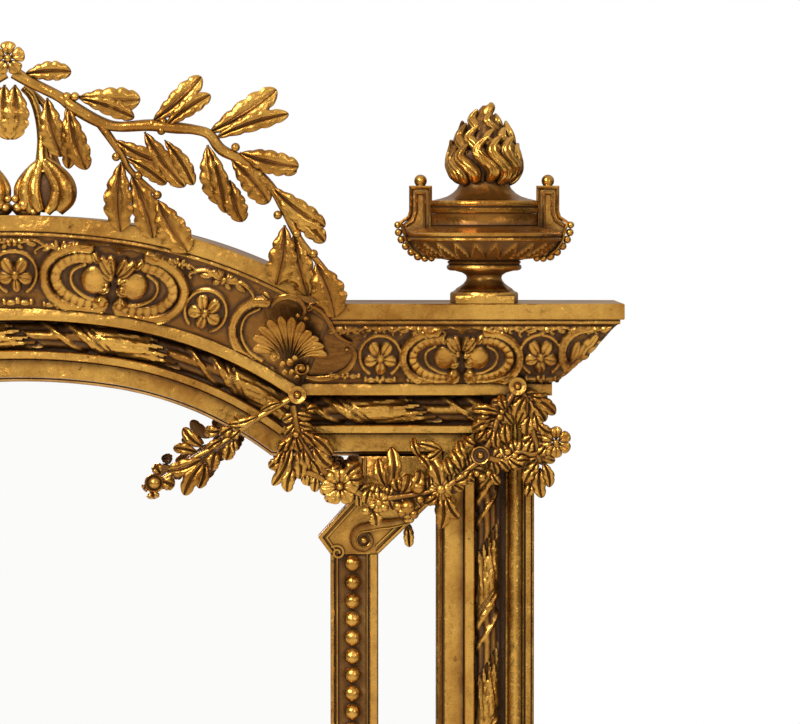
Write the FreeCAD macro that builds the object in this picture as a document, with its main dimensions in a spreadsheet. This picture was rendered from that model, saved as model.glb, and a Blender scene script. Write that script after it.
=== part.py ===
"""Giltwood trumeau mirror with an arched entablature, laurel crest and two urns.

Millimetres. +Z is up, the viewer stands on the -Y side and the wall is on the
+Y side. The origin lies on the floor, in the middle of the base.

Right-hand pieces are built from the sizes, and left-hand ones are their mirror
images. The mouldings of the rails and stiles are stepped sections, written as
members that follow one another outwards from the sight edge.
"""
import FreeCAD, Part
import math
import os

import Sketcher

Vector = FreeCAD.Vector

SIZES = [
    # name, value, meaning
    ("sight_half_width", 527, "middle of the mirror to a stile's sight edge"),
    ("base_height", 150, "floor to the lower sight edge, also the plinth's height"),
    ("cornice_top_height", 1800, "floor to the flat top of the wings"),
    ("frame_depth", 100, "wall to the stile's torus crest"),
    # stile members, outwards from the sight edge
    ("stile_sight_width", 12, "sight bevel"),
    ("stile_fascia_width", 24, "flat fascia"),
    ("stile_fillet_width", 13, "raised fillet"),
    ("stile_trough_width", 32, "trough of the ribbon rod"),
    ("stile_recess_width", 7, "narrow recess"),
    ("stile_torus_width", 21, "round torus"),
    ("stile_outer_width", 16, "outer flat"),
    # rail members, outwards from the sight edge
    ("rail_sight_width", 6, "sight bevel"),
    ("rail_fascia_width", 24, "flat fascia"),
    ("rail_fillet_width", 11, "raised fillet"),
    ("rail_trough_width", 39, "trough of the ribbon rod"),
    ("rail_cap_width", 15.5, "cap fillet under the cornice"),
    # how far each member lies behind the torus crest
    ("sight_setback", 38, "sight edge"),
    ("fascia_setback", 23, "fascia"),
    ("fillet_setback", 7, "fillet"),
    ("trough_setback", 24, "floor of the trough"),
    ("recess_setback", 30, "recess"),
    ("torus_swell", 8, "rise of the torus over its two edges"),
    ("outer_setback", 15, "outer flat"),
    ("rod_clearance", 1, "rod to the side of its trough"),
    ("rod_end_gap", 4, "rod end to a mitre"),
    # arch
    ("arch_crown_radius", 750, "sight edge, middle stretch"),
    ("arch_shoulder_radius", 444, "sight edge, side stretches"),
    ("arch_crown_angle", 8.6, "half of the middle stretch, in degrees"),
    ("arch_rise", 95, "wing sight edge to the arch's highest sight point"),
    # cornice
    ("cap_projection", 21, "cap fillet in front of the torus crest"),
    ("wing_frieze_height", 77.5, "sloping frieze of the wings"),
    ("arch_frieze_height", 92, "sloping frieze of the arch"),
    ("frieze_projection", 78, "how far the frieze leans out"),
    ("thin_fillet_height", 5, "thin fillet over the frieze"),
    ("thin_fillet_step", 3, "thin fillet in front of the frieze"),
    ("top_fillet_height", 20, "top fillet"),
    ("top_fillet_step", 5, "top fillet in front of the thin one"),
    ("cornice_board", 20, "thickness of the top board over the hollow"),
    ("carving_thickness", 6, "applied frieze relief"),
    ("carving_margin", 3, "relief to the frieze's edges"),
    ("shell_radius", 50, "corner shell"),
    ("shell_thickness", 14, "corner shell in front of the frieze"),
    ("shell_shift", 14, "shell's middle inside the mitre line"),
    ("shell_gap", 2, "shell to the relief beside it"),
    # plinth
    ("plinth_reveal", 6, "plinth shaft outside the stile"),
    ("plinth_foot_step", 14, "plinth foot and cap outside the stile"),
    ("plinth_foot_height", 36, "foot member of the plinth"),
    ("plinth_cap_height", 14, "cap member of the plinth"),
    # mirror plates and back
    ("glass_setback", 55, "torus crest to the front of the plates"),
    ("glass_thickness", 5, "mirror plates"),
    ("glass_clearance", 1.5, "plate edge to its rebate"),
    ("rebate_lip", 12, "how far the rebate hides the plate"),
    ("backboard_thickness", 12, "backboards"),
    ("batten_thickness", 12, "back battens"),
    ("batten_height", 110, "back battens"),
    ("batten_inset", 60, "batten to the sight edge's height"),
    # bead rails
    ("slip_sight_width", 74, "visible width of a side plate"),
    ("bead_margin_inner", 9, "border on the middle plate's side"),
    ("bead_field_width", 38, "sunk field of the beads"),
    ("bead_margin_outer", 14, "border on the side plate's side"),
    ("bead_rail_setback", 28, "torus crest to the rail's borders"),
    ("bead_field_step", 6, "depth of the sunk field"),
    ("tongue_width", 15, "tongue between the plates"),
    ("tongue_lip", 9, "how far the rail hides the side plate"),
    ("bead_radius", 10.7, "bead"),
    ("bead_pitch", 23.8, "bead to bead"),
    ("bead_seat", 4, "bead centre in front of the field"),
    ("bead_end_gap", 1, "end bead to a bracket"),
    # brackets
    ("bracket_setback", 26, "torus crest to the bracket's front"),
    ("bracket_height", 126, "sight edge to the end of the bracket"),
    ("bracket_neck_inset", 36, "bead rail's inner edge to the neck"),
    ("bracket_neck_height", 46, "straight part of the neck"),
    ("bracket_ear", 16, "ear outside the bead rail's inner edge"),
    ("bracket_ear_height", 104, "sight edge to the ear's tip"),
    ("bracket_stile_height", 54, "contact with the stile"),
    # urns, from the plinth upwards
    ("urn_inset", 66, "urn axis to the frame's outer face"),
    ("urn_plinth_radius", 42.5, "round plinth"),
    ("urn_plinth_height", 16, "round plinth"),
    ("urn_break_width", 73, "plinth block flush with the cornice front"),
    ("urn_break_height", 10, "plinth block flush with the cornice front"),
    ("urn_foot_radius", 35, "foot over the plinth"),
    ("urn_stem_radius", 21.5, "narrowest part of the stem"),
    ("urn_stem_height", 24, "stem from plinth to ring"),
    ("urn_stem_hollow", 2.5, "curve of the stem"),
    ("urn_ring_radius", 47, "ring under the bowl"),
    ("urn_ring_height", 13, "ring under the bowl"),
    ("urn_bowl_radius", 97, "rim of the bowl"),
    ("urn_bowl_height", 24, "curved part of the bowl"),
    ("urn_bowl_swell", 8, "curve of the bowl"),
    ("urn_rim_height", 11, "upright rim of the bowl"),
    ("urn_shoulder_height", 9, "slope from the rim to the drum"),
    ("urn_drum_radius", 62, "drum under the lid"),
    ("urn_drum_height", 15, "drum under the lid"),
    ("urn_lid_overhang", 3, "lid rim outside the drum"),
    ("urn_lid_rim_height", 16, "upright rim of the lid"),
    ("urn_lid_height", 22, "curved part of the lid"),
    ("urn_lid_hollow", 6, "curve of the lid"),
    ("urn_neck_radius", 30, "top of the lid"),
    ("urn_flame_radius", 46, "widest part of the flame"),
    ("urn_flame_belly", 38, "height of the flame's widest part"),
    ("urn_flame_height", 100, "flame"),
    ("urn_flame_tip", 3, "radius of the flame's tip"),
    ("urn_flame_swell", 6, "curve of the flame"),
    ("urn_handle_gap", 2, "handle to the lid's rim"),
    ("urn_handle_width", 26, "upright strap of the handle"),
    ("urn_handle_rise", 59, "strap over the bowl's rim"),
    ("urn_handle_thickness", 14, "handle, front to back"),
    ("urn_handle_ball", 8, "radius of the ball on the strap"),
    ("urn_ear_reach", 17, "lower scroll outside the bowl"),
    ("urn_ear_depth", 36, "lower scroll under the rim's top"),
    ("urn_ear_turn", 14, "cut corner of the lower scroll"),
    ("urn_ear_tail", 24, "scroll's end inside the bowl's rim"),
    # carved foliage
    ("laurel_thickness", 16, "laurel branch"),
    ("laurel_stalk_width", 11, "laurel stalk"),
    ("laurel_joint", 0.4, "half of the joint between the two branches"),
    ("flower_thickness", 10, "crest flower"),
    ("flower_radius", 19, "crest flower"),
    ("flower_height", 193, "crest flower over the arch"),
    ("bow_thickness", 40, "knot and stems that carry the crest"),
    ("bow_knot_radius", 31, "knot"),
    ("bow_knot_offset", 40, "knot's middle from the mirror's middle"),
    ("bow_knot_height", 27, "knot's middle over the arch"),
    ("bow_stalk_width", 15, "stem over the knot"),
    ("garland_thickness", 14, "garland and sprig"),
    ("garland_stalk_width", 12, "garland stalk"),
    ("sprig_stalk_width", 9, "sprig stalk"),
    ("knob_radius", 11.7, "turned rosette knob"),
    ("knob_length", 21, "knob in front of the cap fillet"),
    ("knob_collar", 5, "foliage round a knob"),
    ("knob_clearance", 0.3, "knob to the foliage round it"),
    ("inner_knob_drop", 14, "knob on the arch's mitre, under the cornice"),
    ("outer_knob_inset", 23, "knob at the corner, inside the outer face"),
    ("outer_knob_drop", 3, "knob at the corner, under the cornice"),
    ("lower_knob_offset", 55, "lower knob outside the sight edge"),
    ("lower_knob_drop", 90, "lower knob under the cornice"),
    # hanging irons
    ("screw_radius", 2, "screw shank"),
    ("screw_length", 20, "screw with its head"),
    ("screw_head_radius", 4, "screw head"),
    ("screw_head_height", 2, "screw head"),
    ("screw_spacing", 64, "two screws of one iron"),
    ("iron_width", 30, "hanger plate and its eye"),
    ("iron_height", 90, "hanger plate"),
    ("iron_thickness", 3, "hanger plate"),
    ("eye_wall", 2.4, "wall of the hinge eye"),
    ("ring_wire_radius", 2.8, "hanger ring"),
    ("ring_clearance", 0.1, "ring wire in its eye"),
    ("ring_radius", 22, "bow of the hanger ring"),
]

STILE_MEMBERS = ["fascia", "fillet", "trough", "recess", "torus", "outer"]
RAIL_MEMBERS = ["fascia", "fillet", "trough"]

doc = FreeCAD.newDocument("TrumeauMirror")
sizes = doc.addObject("Spreadsheet::Sheet", "Sizes")
for row, (name, amount, meaning) in enumerate(SIZES, start=1):
    sizes.set(f"A{row}", name)
    sizes.set(f"B{row}", str(amount))
    sizes.set(f"C{row}", meaning)
    sizes.setAlias(f"B{row}", name)
plan = doc.addObject("App::VarSet", "Plan")
doc.recompute()

kept = []


def size(name):
    """A driving dimension as a number."""
    return float(sizes.get(name))


def value(expression):
    """The present value of an expression."""
    result = sizes.evalExpression(expression)
    return float(getattr(result, "Value", result))


def settle(name, expression):
    """Add a place or length that follows from the sizes."""
    plan.addProperty("App::PropertyFloat", name)
    plan.setExpression(name, expression)
    plan.recompute()


def total(prefix, members):
    """Expression for the summed widths of some members."""
    return "(" + " + ".join(f"Sizes.{prefix}_{member}_width" for member in members) + ")"


def keep(piece):
    """Mark a piece as one that is handed over as a node."""
    kept.append(piece)
    return piece


# ---------------------------------------------------------------- layout

settle("front", "-Sizes.frame_depth / 2")
settle("wall", "Sizes.frame_depth / 2")
settle("stile_width", total("stile", ["sight"] + STILE_MEMBERS))
settle("rail_width", total("rail", ["sight"] + RAIL_MEMBERS + ["cap"]))
settle("outer", "Sizes.sight_half_width + Plan.stile_width")
settle("cornice_head", "Sizes.thin_fillet_height + Sizes.top_fillet_height")
settle("cornice_foot", "Sizes.cornice_top_height - Plan.cornice_head - Sizes.wing_frieze_height")
settle("wing_sight", "Plan.cornice_foot - Plan.rail_width")
settle("cap_foot", "Plan.cornice_foot - Sizes.rail_cap_width")
settle("cap_outer", "Plan.outer + Sizes.cap_projection")
settle("cap_front", "Plan.front - Sizes.cap_projection")
settle("frieze_outer", "Plan.cap_outer + Sizes.frieze_projection")
settle("thin_outer", "Plan.frieze_outer + Sizes.thin_fillet_step")
settle("cornice_outer", "Plan.thin_outer + Sizes.top_fillet_step")
settle("frieze_front", "Plan.cap_front - Sizes.frieze_projection")
settle("thin_front", "Plan.frieze_front - Sizes.thin_fillet_step")
settle("cornice_front", "Plan.thin_front - Sizes.top_fillet_step")
settle("frieze_top", "Plan.cornice_foot + Sizes.wing_frieze_height")
settle("thin_top", "Plan.frieze_top + Sizes.thin_fillet_height")

settle("radius_step", "Sizes.arch_crown_radius - Sizes.arch_shoulder_radius")
settle("crown_z", "Plan.wing_sight + Sizes.arch_rise - Sizes.arch_crown_radius")
settle("shoulder_x", "Plan.radius_step * sin(Sizes.arch_crown_angle)")
settle("shoulder_z", "Plan.crown_z + Plan.radius_step * cos(Sizes.arch_crown_angle)")
settle("arch_width", "Plan.rail_width + Sizes.arch_frieze_height + Plan.cornice_head")
settle("arch_outer_radius", "Sizes.arch_shoulder_radius + Plan.arch_width")
settle("arch_top", "Plan.wing_sight + Sizes.arch_rise + Plan.arch_width")
settle("mitre_in", "Plan.shoulder_x + sqrt(Sizes.arch_shoulder_radius^2"
                   " - (Plan.wing_sight - Plan.shoulder_z)^2)")
settle("mitre_out", "Plan.shoulder_x + sqrt(Plan.arch_outer_radius^2"
                    " - (Sizes.cornice_top_height - Plan.shoulder_z)^2)")
settle("mitre_lean", "(Plan.mitre_out - Plan.mitre_in)"
                     " / (Sizes.cornice_top_height - Plan.wing_sight)")
settle("mitre_at_foot", "Plan.mitre_in + Plan.mitre_lean * Plan.rail_width")

settle("glass_front", "Plan.front + Sizes.glass_setback")
settle("glass_back", "Plan.glass_front + Sizes.glass_thickness")
settle("board_back", "Plan.glass_back + Sizes.backboard_thickness")
settle("batten_back", "Plan.board_back + Sizes.batten_thickness")
settle("rebate_side", "Sizes.sight_half_width + Sizes.rebate_lip")
settle("plate_side", "Plan.rebate_side - Sizes.glass_clearance")
settle("plate_foot", "Sizes.base_height - Sizes.rebate_lip + Sizes.glass_clearance")
settle("plate_head", "Plan.wing_sight + Sizes.rebate_lip - Sizes.glass_clearance")
settle("bead_outer", "Sizes.sight_half_width - Sizes.slip_sight_width")
settle("field_outer", "Plan.bead_outer - Sizes.bead_margin_outer")
settle("field_inner", "Plan.field_outer - Sizes.bead_field_width")
settle("bead_inner", "Plan.field_inner - Sizes.bead_margin_inner")
settle("bead_front", "Plan.front + Sizes.bead_rail_setback")
settle("field_front", "Plan.bead_front + Sizes.bead_field_step")
settle("tongue_outer", "Plan.bead_outer - Sizes.tongue_lip")
settle("tongue_inner", "Plan.tongue_outer - Sizes.tongue_width")
settle("tongue_middle", "(Plan.tongue_inner + Plan.tongue_outer) / 2")
settle("bead_foot", "Sizes.base_height + Sizes.bracket_height")
settle("bead_head", "Plan.wing_sight - Sizes.bracket_height")
settle("sight_middle", "(Sizes.base_height + Plan.wing_sight) / 2")
settle("upper_batten", "Plan.wing_sight - Sizes.batten_inset - Sizes.batten_height / 2")
settle("lower_batten", "Sizes.base_height + Sizes.batten_inset + Sizes.batten_height / 2")
settle("iron_back", "Plan.batten_back + Sizes.iron_thickness")
settle("eye_bore", "Sizes.ring_wire_radius + Sizes.ring_clearance")
settle("eye_y", "Plan.iron_back + Plan.eye_bore")

settle("urn_x", "Plan.outer - Sizes.urn_inset")
settle("urn_y", "Plan.cornice_front + Sizes.urn_plinth_radius")

settle("inner_knob_x", "Plan.mitre_in + Plan.mitre_lean"
                       " * (Plan.rail_width - Sizes.inner_knob_drop)")
settle("outer_knob_x", "Plan.outer - Sizes.outer_knob_inset")
settle("lower_knob_x", "Sizes.sight_half_width + Sizes.lower_knob_offset")
settle("shell_x", "Plan.mitre_in - Sizes.shell_shift + Plan.mitre_lean"
                  " * (Plan.rail_width + Sizes.wing_frieze_height / 2)")
settle("shell_z", "Plan.cornice_foot + Sizes.wing_frieze_height / 2")


# ---------------------------------------------------------------- sketches and solids

TO_VIEWER = FreeCAD.Rotation(Vector(1, 0, 0), 90)
ALONG_X = FreeCAD.Rotation(Vector(0, 1, 0), 90)
UPRIGHT_ROD = FreeCAD.Rotation(Vector(0, 0, 1), 180)
LYING_ROD = FreeCAD.Rotation(Vector(0, 0, -1), Vector(0, -1, 0), Vector(-1, 0, 0), "XYZ")
RING_BOW = FreeCAD.Rotation(Vector(1, 0, 0), -90)


def draw(body, name, role, outline, start="0"):
    """Draw a closed outline on one of the body's planes, bound to the sizes.

    A corner is (across, up), or (across, up, swell) where the side that leaves
    it is an arc. A positive swell lies on the left of the way round.
    """
    sketch = body.newObject("Sketcher::SketchObject", name)
    plane = [item for item in body.Origin.OriginFeatures if item.Role == role][0]
    sketch.AttachmentSupport = (plane, [""])
    sketch.MapMode = "FlatFace"
    sketch.setExpression("AttachmentOffset.Base.z", start)
    corners = [Vector(value(corner[0]), value(corner[1]), 0) for corner in outline]
    ends = []
    for index, corner in enumerate(corners):
        following = corners[(index + 1) % len(corners)]
        if len(outline[index]) == 2:
            side = Part.LineSegment(corner, following)
        else:
            chord = following - corner
            left = Vector(-chord.y, chord.x, 0).normalize()
            crest = (corner + following) / 2 + left * value(outline[index][2])
            side = Part.Arc(corner, crest, following)
        geometry = sketch.addGeometry(side, False)
        near = sketch.getPoint(geometry, 1).distanceToPoint(corner) < 1e-6
        ends.append((1, 2) if near else (2, 1))
    for index, corner in enumerate(outline):
        after = (index + 1) % len(outline)
        sketch.addConstraint(Sketcher.Constraint(
            "Coincident", index, ends[index][1], after, ends[after][0]))
        for axis, place in (("X", corner[0]), ("Y", corner[1])):
            bound = sketch.addConstraint(Sketcher.Constraint(
                "Distance" + axis, -1, 1, index, ends[index][0], value(place)))
            sketch.setExpression(f"Constraints[{bound}]", place)
        if len(corner) == 3:
            ahead = outline[after]
            square = f"(({ahead[0]}) - ({corner[0]}))^2 + (({ahead[1]}) - ({corner[1]}))^2"
            radius = f"abs(({square}) / (8 * ({corner[2]})) + ({corner[2]}) / 2)"
            bound = sketch.addConstraint(Sketcher.Constraint("Radius", index, value(radius)))
            sketch.setExpression(f"Constraints[{bound}]", radius)
    return sketch


def pad(body, role, outline, length, start="0"):
    """Pad an outline; on the XZ plane the pad grows towards the viewer."""
    number = len(body.Group)
    sketch = draw(body, f"{body.Name}_outline{number}", role, outline, start)
    feature = body.newObject("PartDesign::Pad", f"{body.Name}_pad{number}")
    feature.Profile = sketch
    feature.setExpression("Length", length)
    return feature


def padded(label, role, outline, length, start="0"):
    """A body that is one pad."""
    body = doc.addObject("PartDesign::Body", label)
    pad(body, role, outline, length, start)
    return body


def turned(label, outline):
    """A body turned about its own upright axis, from (radius, height) corners."""
    body = doc.addObject("PartDesign::Body", label)
    sketch = draw(body, label + "_outline", "XZ_Plane", outline)
    feature = body.newObject("PartDesign::Revolution", label + "_turning")
    feature.Profile = sketch
    feature.ReferenceAxis = (sketch, ["V_Axis"])
    feature.Angle = 360
    return body


def place(piece, across="0", deep="0", up="0"):
    """Bind where a piece stands."""
    for axis, expression in (("x", across), ("y", deep), ("z", up)):
        piece.setExpression("Placement.Base." + axis, expression)
    return piece


def box(label, across, deep, up):
    """A board between (low, high) expressions on each axis."""
    piece = doc.addObject("Part::Box", label)
    piece.setExpression("Length", f"({across[1]}) - ({across[0]})")
    piece.setExpression("Width", f"({deep[1]}) - ({deep[0]})")
    piece.setExpression("Height", f"({up[1]}) - ({up[0]})")
    return place(piece, across[0], deep[0], up[0])


def cylinder(label, radius, length, rotation, centre, sweep=360):
    """A cylinder, or part of one, turned from upright and bound at its start."""
    piece = doc.addObject("Part::Cylinder", label)
    piece.setExpression("Radius", radius)
    piece.setExpression("Height", length)
    piece.Angle = sweep
    piece.Placement = FreeCAD.Placement(Vector(), rotation)
    return place(piece, *centre)


def combined(kind, label, base, tool):
    """Part::Common, Part::Cut or Part::Fuse of two pieces."""
    piece = doc.addObject(kind, label)
    piece.Base = base
    piece.Tool = tool
    return piece


def scribed(label, base, tools):
    """A piece cut to fit against others, one after the other."""
    for number, tool in enumerate(tools, start=1):
        name = label if number == len(tools) else f"{label}_fit{number}"
        base = combined("Part::Cut", name, base, tool)
    return base


def grouped(kind, property_name, label, pieces):
    """Part::Compound or Part::MultiFuse of several pieces."""
    piece = doc.addObject(kind, label)
    setattr(piece, property_name, pieces)
    return piece


def mirrored(label, source, across="0"):
    """The mirror image of a piece in an upright plane."""
    piece = doc.addObject("Part::Mirroring", label)
    piece.Source = source
    piece.Normal = Vector(1, 0, 0)
    piece.setExpression("Base.x", across)
    return piece


def pair(name, source):
    """Keep the right-hand piece and add the left-hand one."""
    keep(source)
    keep(mirrored("left_" + name, source))


def computed(label, shape):
    """A piece whose shape is worked out from the sizes here."""
    piece = doc.addObject("Part::Feature", label)
    piece.Shape = shape
    piece.Placement = FreeCAD.Placement()
    return piece


# ---------------------------------------------------------------- mouldings

def moulding(prefix, members):
    """Front of a moulding as (offset from the sight edge, depth) expressions."""
    offset = f"Sizes.{prefix}_sight_width"
    corners = [("0", "Plan.front + Sizes.sight_setback")]
    for member in members:
        ahead = f"{offset} + Sizes.{prefix}_{member}_width"
        if member == "torus":
            depth = "Plan.front + Sizes.torus_swell"
            corners += [(offset, depth, "-Sizes.torus_swell"), (ahead, depth)]
        else:
            depth = f"Plan.front + Sizes.{member}_setback"
            corners += [(offset, depth), (ahead, depth)]
        offset = ahead
    return corners, offset


def rebated(corners, offset):
    """Close a moulding at the wall, with a rebate for the plate behind its lip."""
    return corners + [(offset, "Plan.wall"),
                      ("Sizes.rebate_lip", "Plan.wall"),
                      ("Sizes.rebate_lip", "Plan.glass_front"),
                      ("0", "Plan.glass_front")]


stile_front, stile_edge = moulding("stile", STILE_MEMBERS)
stile_section = rebated(stile_front, stile_edge)
rail_front, rail_edge = moulding("rail", RAIL_MEMBERS)
rail_front += [(rail_edge, "Plan.cap_front"), ("Plan.rail_width", "Plan.cap_front")]
rail_section = rebated(rail_front, "Plan.rail_width")


# ---------------------------------------------------------------- arch geometry

class Stretch:
    """One stretch of the three-centred arch, in numbers."""

    def __init__(self, centre_x, centre_z, radius, start, sweep):
        self.centre = Vector(centre_x, 0, centre_z)
        self.radius = radius
        self.start = start
        self.sweep = sweep

    def point(self, offset, depth, angle):
        """A point outside the sight edge at an angle from the upright."""
        reach = self.radius + offset
        turn = math.radians(angle)
        return self.centre + Vector(reach * math.sin(turn), depth, reach * math.cos(turn))


OVERRUN = 70
crown_angle = size("arch_crown_angle")
crown = Stretch(0, plan.crown_z, size("arch_crown_radius"), -crown_angle, 2 * crown_angle)
shoulder = Stretch(plan.shoulder_x, plan.shoulder_z, size("arch_shoulder_radius"),
                   crown_angle, OVERRUN - crown_angle)


def mitre_x(up):
    """Where the arch's mitre line lies at a height."""
    return plan.mitre_in + plan.mitre_lean * (up - plan.wing_sight)


def arch_clip(gap):
    """The block between the arch's two mitres, less a gap at each."""
    low = plan.wing_sight - size("rebate_lip")
    high = plan.arch_top + plan.arch_width
    deep = plan.wall - plan.cornice_front
    back = plan.wall + deep
    corners = [Vector(-mitre_x(high) + gap, back, high), Vector(mitre_x(high) - gap, back, high),
               Vector(mitre_x(low) - gap, back, low), Vector(-mitre_x(low) + gap, back, low)]
    face = Part.Face(Part.makePolygon(corners + corners[:1]))
    return face.extrude(Vector(0, -3 * deep, 0))


def arch_sweep(make_face, gap=0):
    """Sweep a section round the arch and cut it at the mitres."""
    axis = Vector(0, 1, 0)
    middle = make_face(crown).revolve(crown.centre, axis, crown.sweep)
    side = make_face(shoulder).revolve(shoulder.centre, axis, shoulder.sweep)
    other = side.mirror(Vector(), Vector(1, 0, 0))
    whole = middle.fuse([side, other]).common(arch_clip(gap))
    return whole.removeSplitter()


def section_face(corners):
    """A face maker for a section of (offset, depth) expressions."""
    numbers = [(value(corner[0]), value(corner[1])) for corner in corners]

    def make(stretch):
        points = [stretch.point(offset, depth, stretch.start) for offset, depth in numbers]
        return Part.Face(Part.makePolygon(points + points[:1]))
    return make


def half_round_face(offset, depth, radius):
    """A face maker for a half-round rod whose flat back lies at a depth."""
    def make(stretch):
        ends = [stretch.point(offset - radius, depth, stretch.start),
                stretch.point(offset + radius, depth, stretch.start)]
        crest = stretch.point(offset, depth - radius, stretch.start)
        curve = Part.Arc(ends[0], crest, ends[1]).toShape()
        flat = Part.LineSegment(ends[1], ends[0]).toShape()
        return Part.Face(Part.Wire([curve, flat]))
    return make


# ---------------------------------------------------------------- frame

def build_stiles():
    """Moulded uprights, mitred under the entablature's corner."""
    section = padded(
        "stile_section", "XY_Plane",
        [(f"Sizes.sight_half_width + {corner[0]}",) + corner[1:] for corner in stile_section],
        "Plan.cornice_foot - Sizes.base_height", "Sizes.base_height")
    outline = padded(
        "stile_outline", "XZ_Plane",
        [("Sizes.sight_half_width", "Sizes.base_height"), ("Plan.outer", "Sizes.base_height"),
         ("Plan.outer", "Plan.cap_foot"), ("Sizes.sight_half_width", "Plan.wing_sight")],
        "Sizes.frame_depth + Sizes.cap_projection", "-Plan.wall")
    pair("stile", combined("Part::Common", "right_stile", section, outline))


def build_wing_rails():
    """Rails under the wings, with the cap fillet returned round the corner."""
    section = padded(
        "wing_rail_section", "YZ_Plane",
        [(corner[1], f"Plan.wing_sight + {corner[0]}") for corner in rail_section],
        "Plan.cap_outer", "0")
    outline = padded(
        "wing_rail_outline", "XZ_Plane",
        [("Plan.mitre_in", "Plan.wing_sight"), ("Sizes.sight_half_width", "Plan.wing_sight"),
         ("Plan.outer", "Plan.cap_foot"), ("Plan.cap_outer", "Plan.cap_foot"),
         ("Plan.cap_outer", "Plan.cornice_foot"), ("Plan.mitre_at_foot", "Plan.cornice_foot")],
        "Plan.wall - Plan.cap_front", "-Plan.wall")
    pair("wing_rail", combined("Part::Common", "right_wing_rail", section, outline))


def build_arch_rail():
    """The arched rail over the middle plate."""
    keep(computed("arch_rail", arch_sweep(section_face(rail_section))))


def build_base():
    """Bottom rail on the floor between two plinth blocks."""
    front, edge = moulding("rail", RAIL_MEMBERS)
    corners = rebated(front + [(edge, "Plan.front"), ("Sizes.base_height", "Plan.front")],
                      "Sizes.base_height")
    keep(padded("bottom_rail", "YZ_Plane",
                [(corner[1], f"Sizes.base_height - ({corner[0]})") for corner in corners],
                "2 * Plan.rebate_side", "-Plan.rebate_side"))
    cap_foot = "Sizes.base_height - Sizes.plinth_cap_height"

    def steps(flat, sign):
        """Foot, shaft and cap of the plinth outside a flat face."""
        wide = f"{flat} {sign} Sizes.plinth_foot_step"
        narrow = f"{flat} {sign} Sizes.plinth_reveal"
        return [(wide, "0"), (wide, "Sizes.plinth_foot_height"),
                (narrow, "Sizes.plinth_foot_height"), (narrow, cap_foot),
                (wide, cap_foot), (wide, "Sizes.base_height")]

    side = padded("plinth_section", "YZ_Plane",
                  steps("Plan.front", "-") + [("Plan.wall", "Sizes.base_height"), ("Plan.wall", "0")],
                  "Plan.cap_outer + Sizes.plinth_foot_step", "0")
    face = padded("plinth_outline", "XZ_Plane",
                  steps("Plan.outer", "+") + [("Plan.rebate_side", "Sizes.base_height"),
                                              ("Plan.rebate_side", "0")],
                  "Sizes.frame_depth + Sizes.plinth_foot_step", "-Plan.wall")
    pair("plinth_block", combined("Part::Common", "right_plinth_block", side, face))


def build_cornices():
    """Sloping cornice of the wings with returns, and that of the arch."""
    section = padded(
        "cornice_section", "YZ_Plane",
        [("Plan.wall", "Plan.cornice_foot"), ("Plan.cap_front", "Plan.cornice_foot"),
         ("Plan.frieze_front", "Plan.frieze_top"), ("Plan.thin_front", "Plan.frieze_top"),
         ("Plan.thin_front", "Plan.thin_top"), ("Plan.cornice_front", "Plan.thin_top"),
         ("Plan.cornice_front", "Sizes.cornice_top_height"),
         ("Plan.wall", "Sizes.cornice_top_height")],
        "Plan.cornice_outer", "0")
    outline = padded(
        "cornice_outline", "XZ_Plane",
        [("Plan.mitre_at_foot", "Plan.cornice_foot"), ("Plan.cap_outer", "Plan.cornice_foot"),
         ("Plan.frieze_outer", "Plan.frieze_top"), ("Plan.thin_outer", "Plan.frieze_top"),
         ("Plan.thin_outer", "Plan.thin_top"), ("Plan.cornice_outer", "Plan.thin_top"),
         ("Plan.cornice_outer", "Sizes.cornice_top_height"),
         ("Plan.mitre_out", "Sizes.cornice_top_height")],
        "Plan.wall - Plan.cornice_front", "-Plan.wall")
    block = combined("Part::Common", "cornice_block", section, outline)
    hollow = box("cornice_hollow", ("0", "Plan.outer"), ("Plan.front", "Plan.wall"),
                 ("Plan.cornice_foot", "Sizes.cornice_top_height - Sizes.cornice_board"))
    right = combined("Part::Cut", "right_cornice", block, hollow)
    pair("cornice", right)

    frieze = "Plan.rail_width + Sizes.arch_frieze_height"
    thin = frieze + " + Sizes.thin_fillet_height"
    arch_section = [
        ("Plan.rail_width", "Plan.front"), ("Plan.rail_width", "Plan.cap_front"),
        (frieze, "Plan.frieze_front"), (frieze, "Plan.thin_front"),
        (thin, "Plan.thin_front"), (thin, "Plan.cornice_front"),
        ("Plan.arch_width", "Plan.cornice_front"), ("Plan.arch_width", "Plan.wall"),
        ("Plan.arch_width - Sizes.cornice_board", "Plan.wall"),
        ("Plan.arch_width - Sizes.cornice_board", "Plan.front")]
    arch = keep(computed("arch_cornice", arch_sweep(section_face(arch_section))))
    return right, arch


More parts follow.
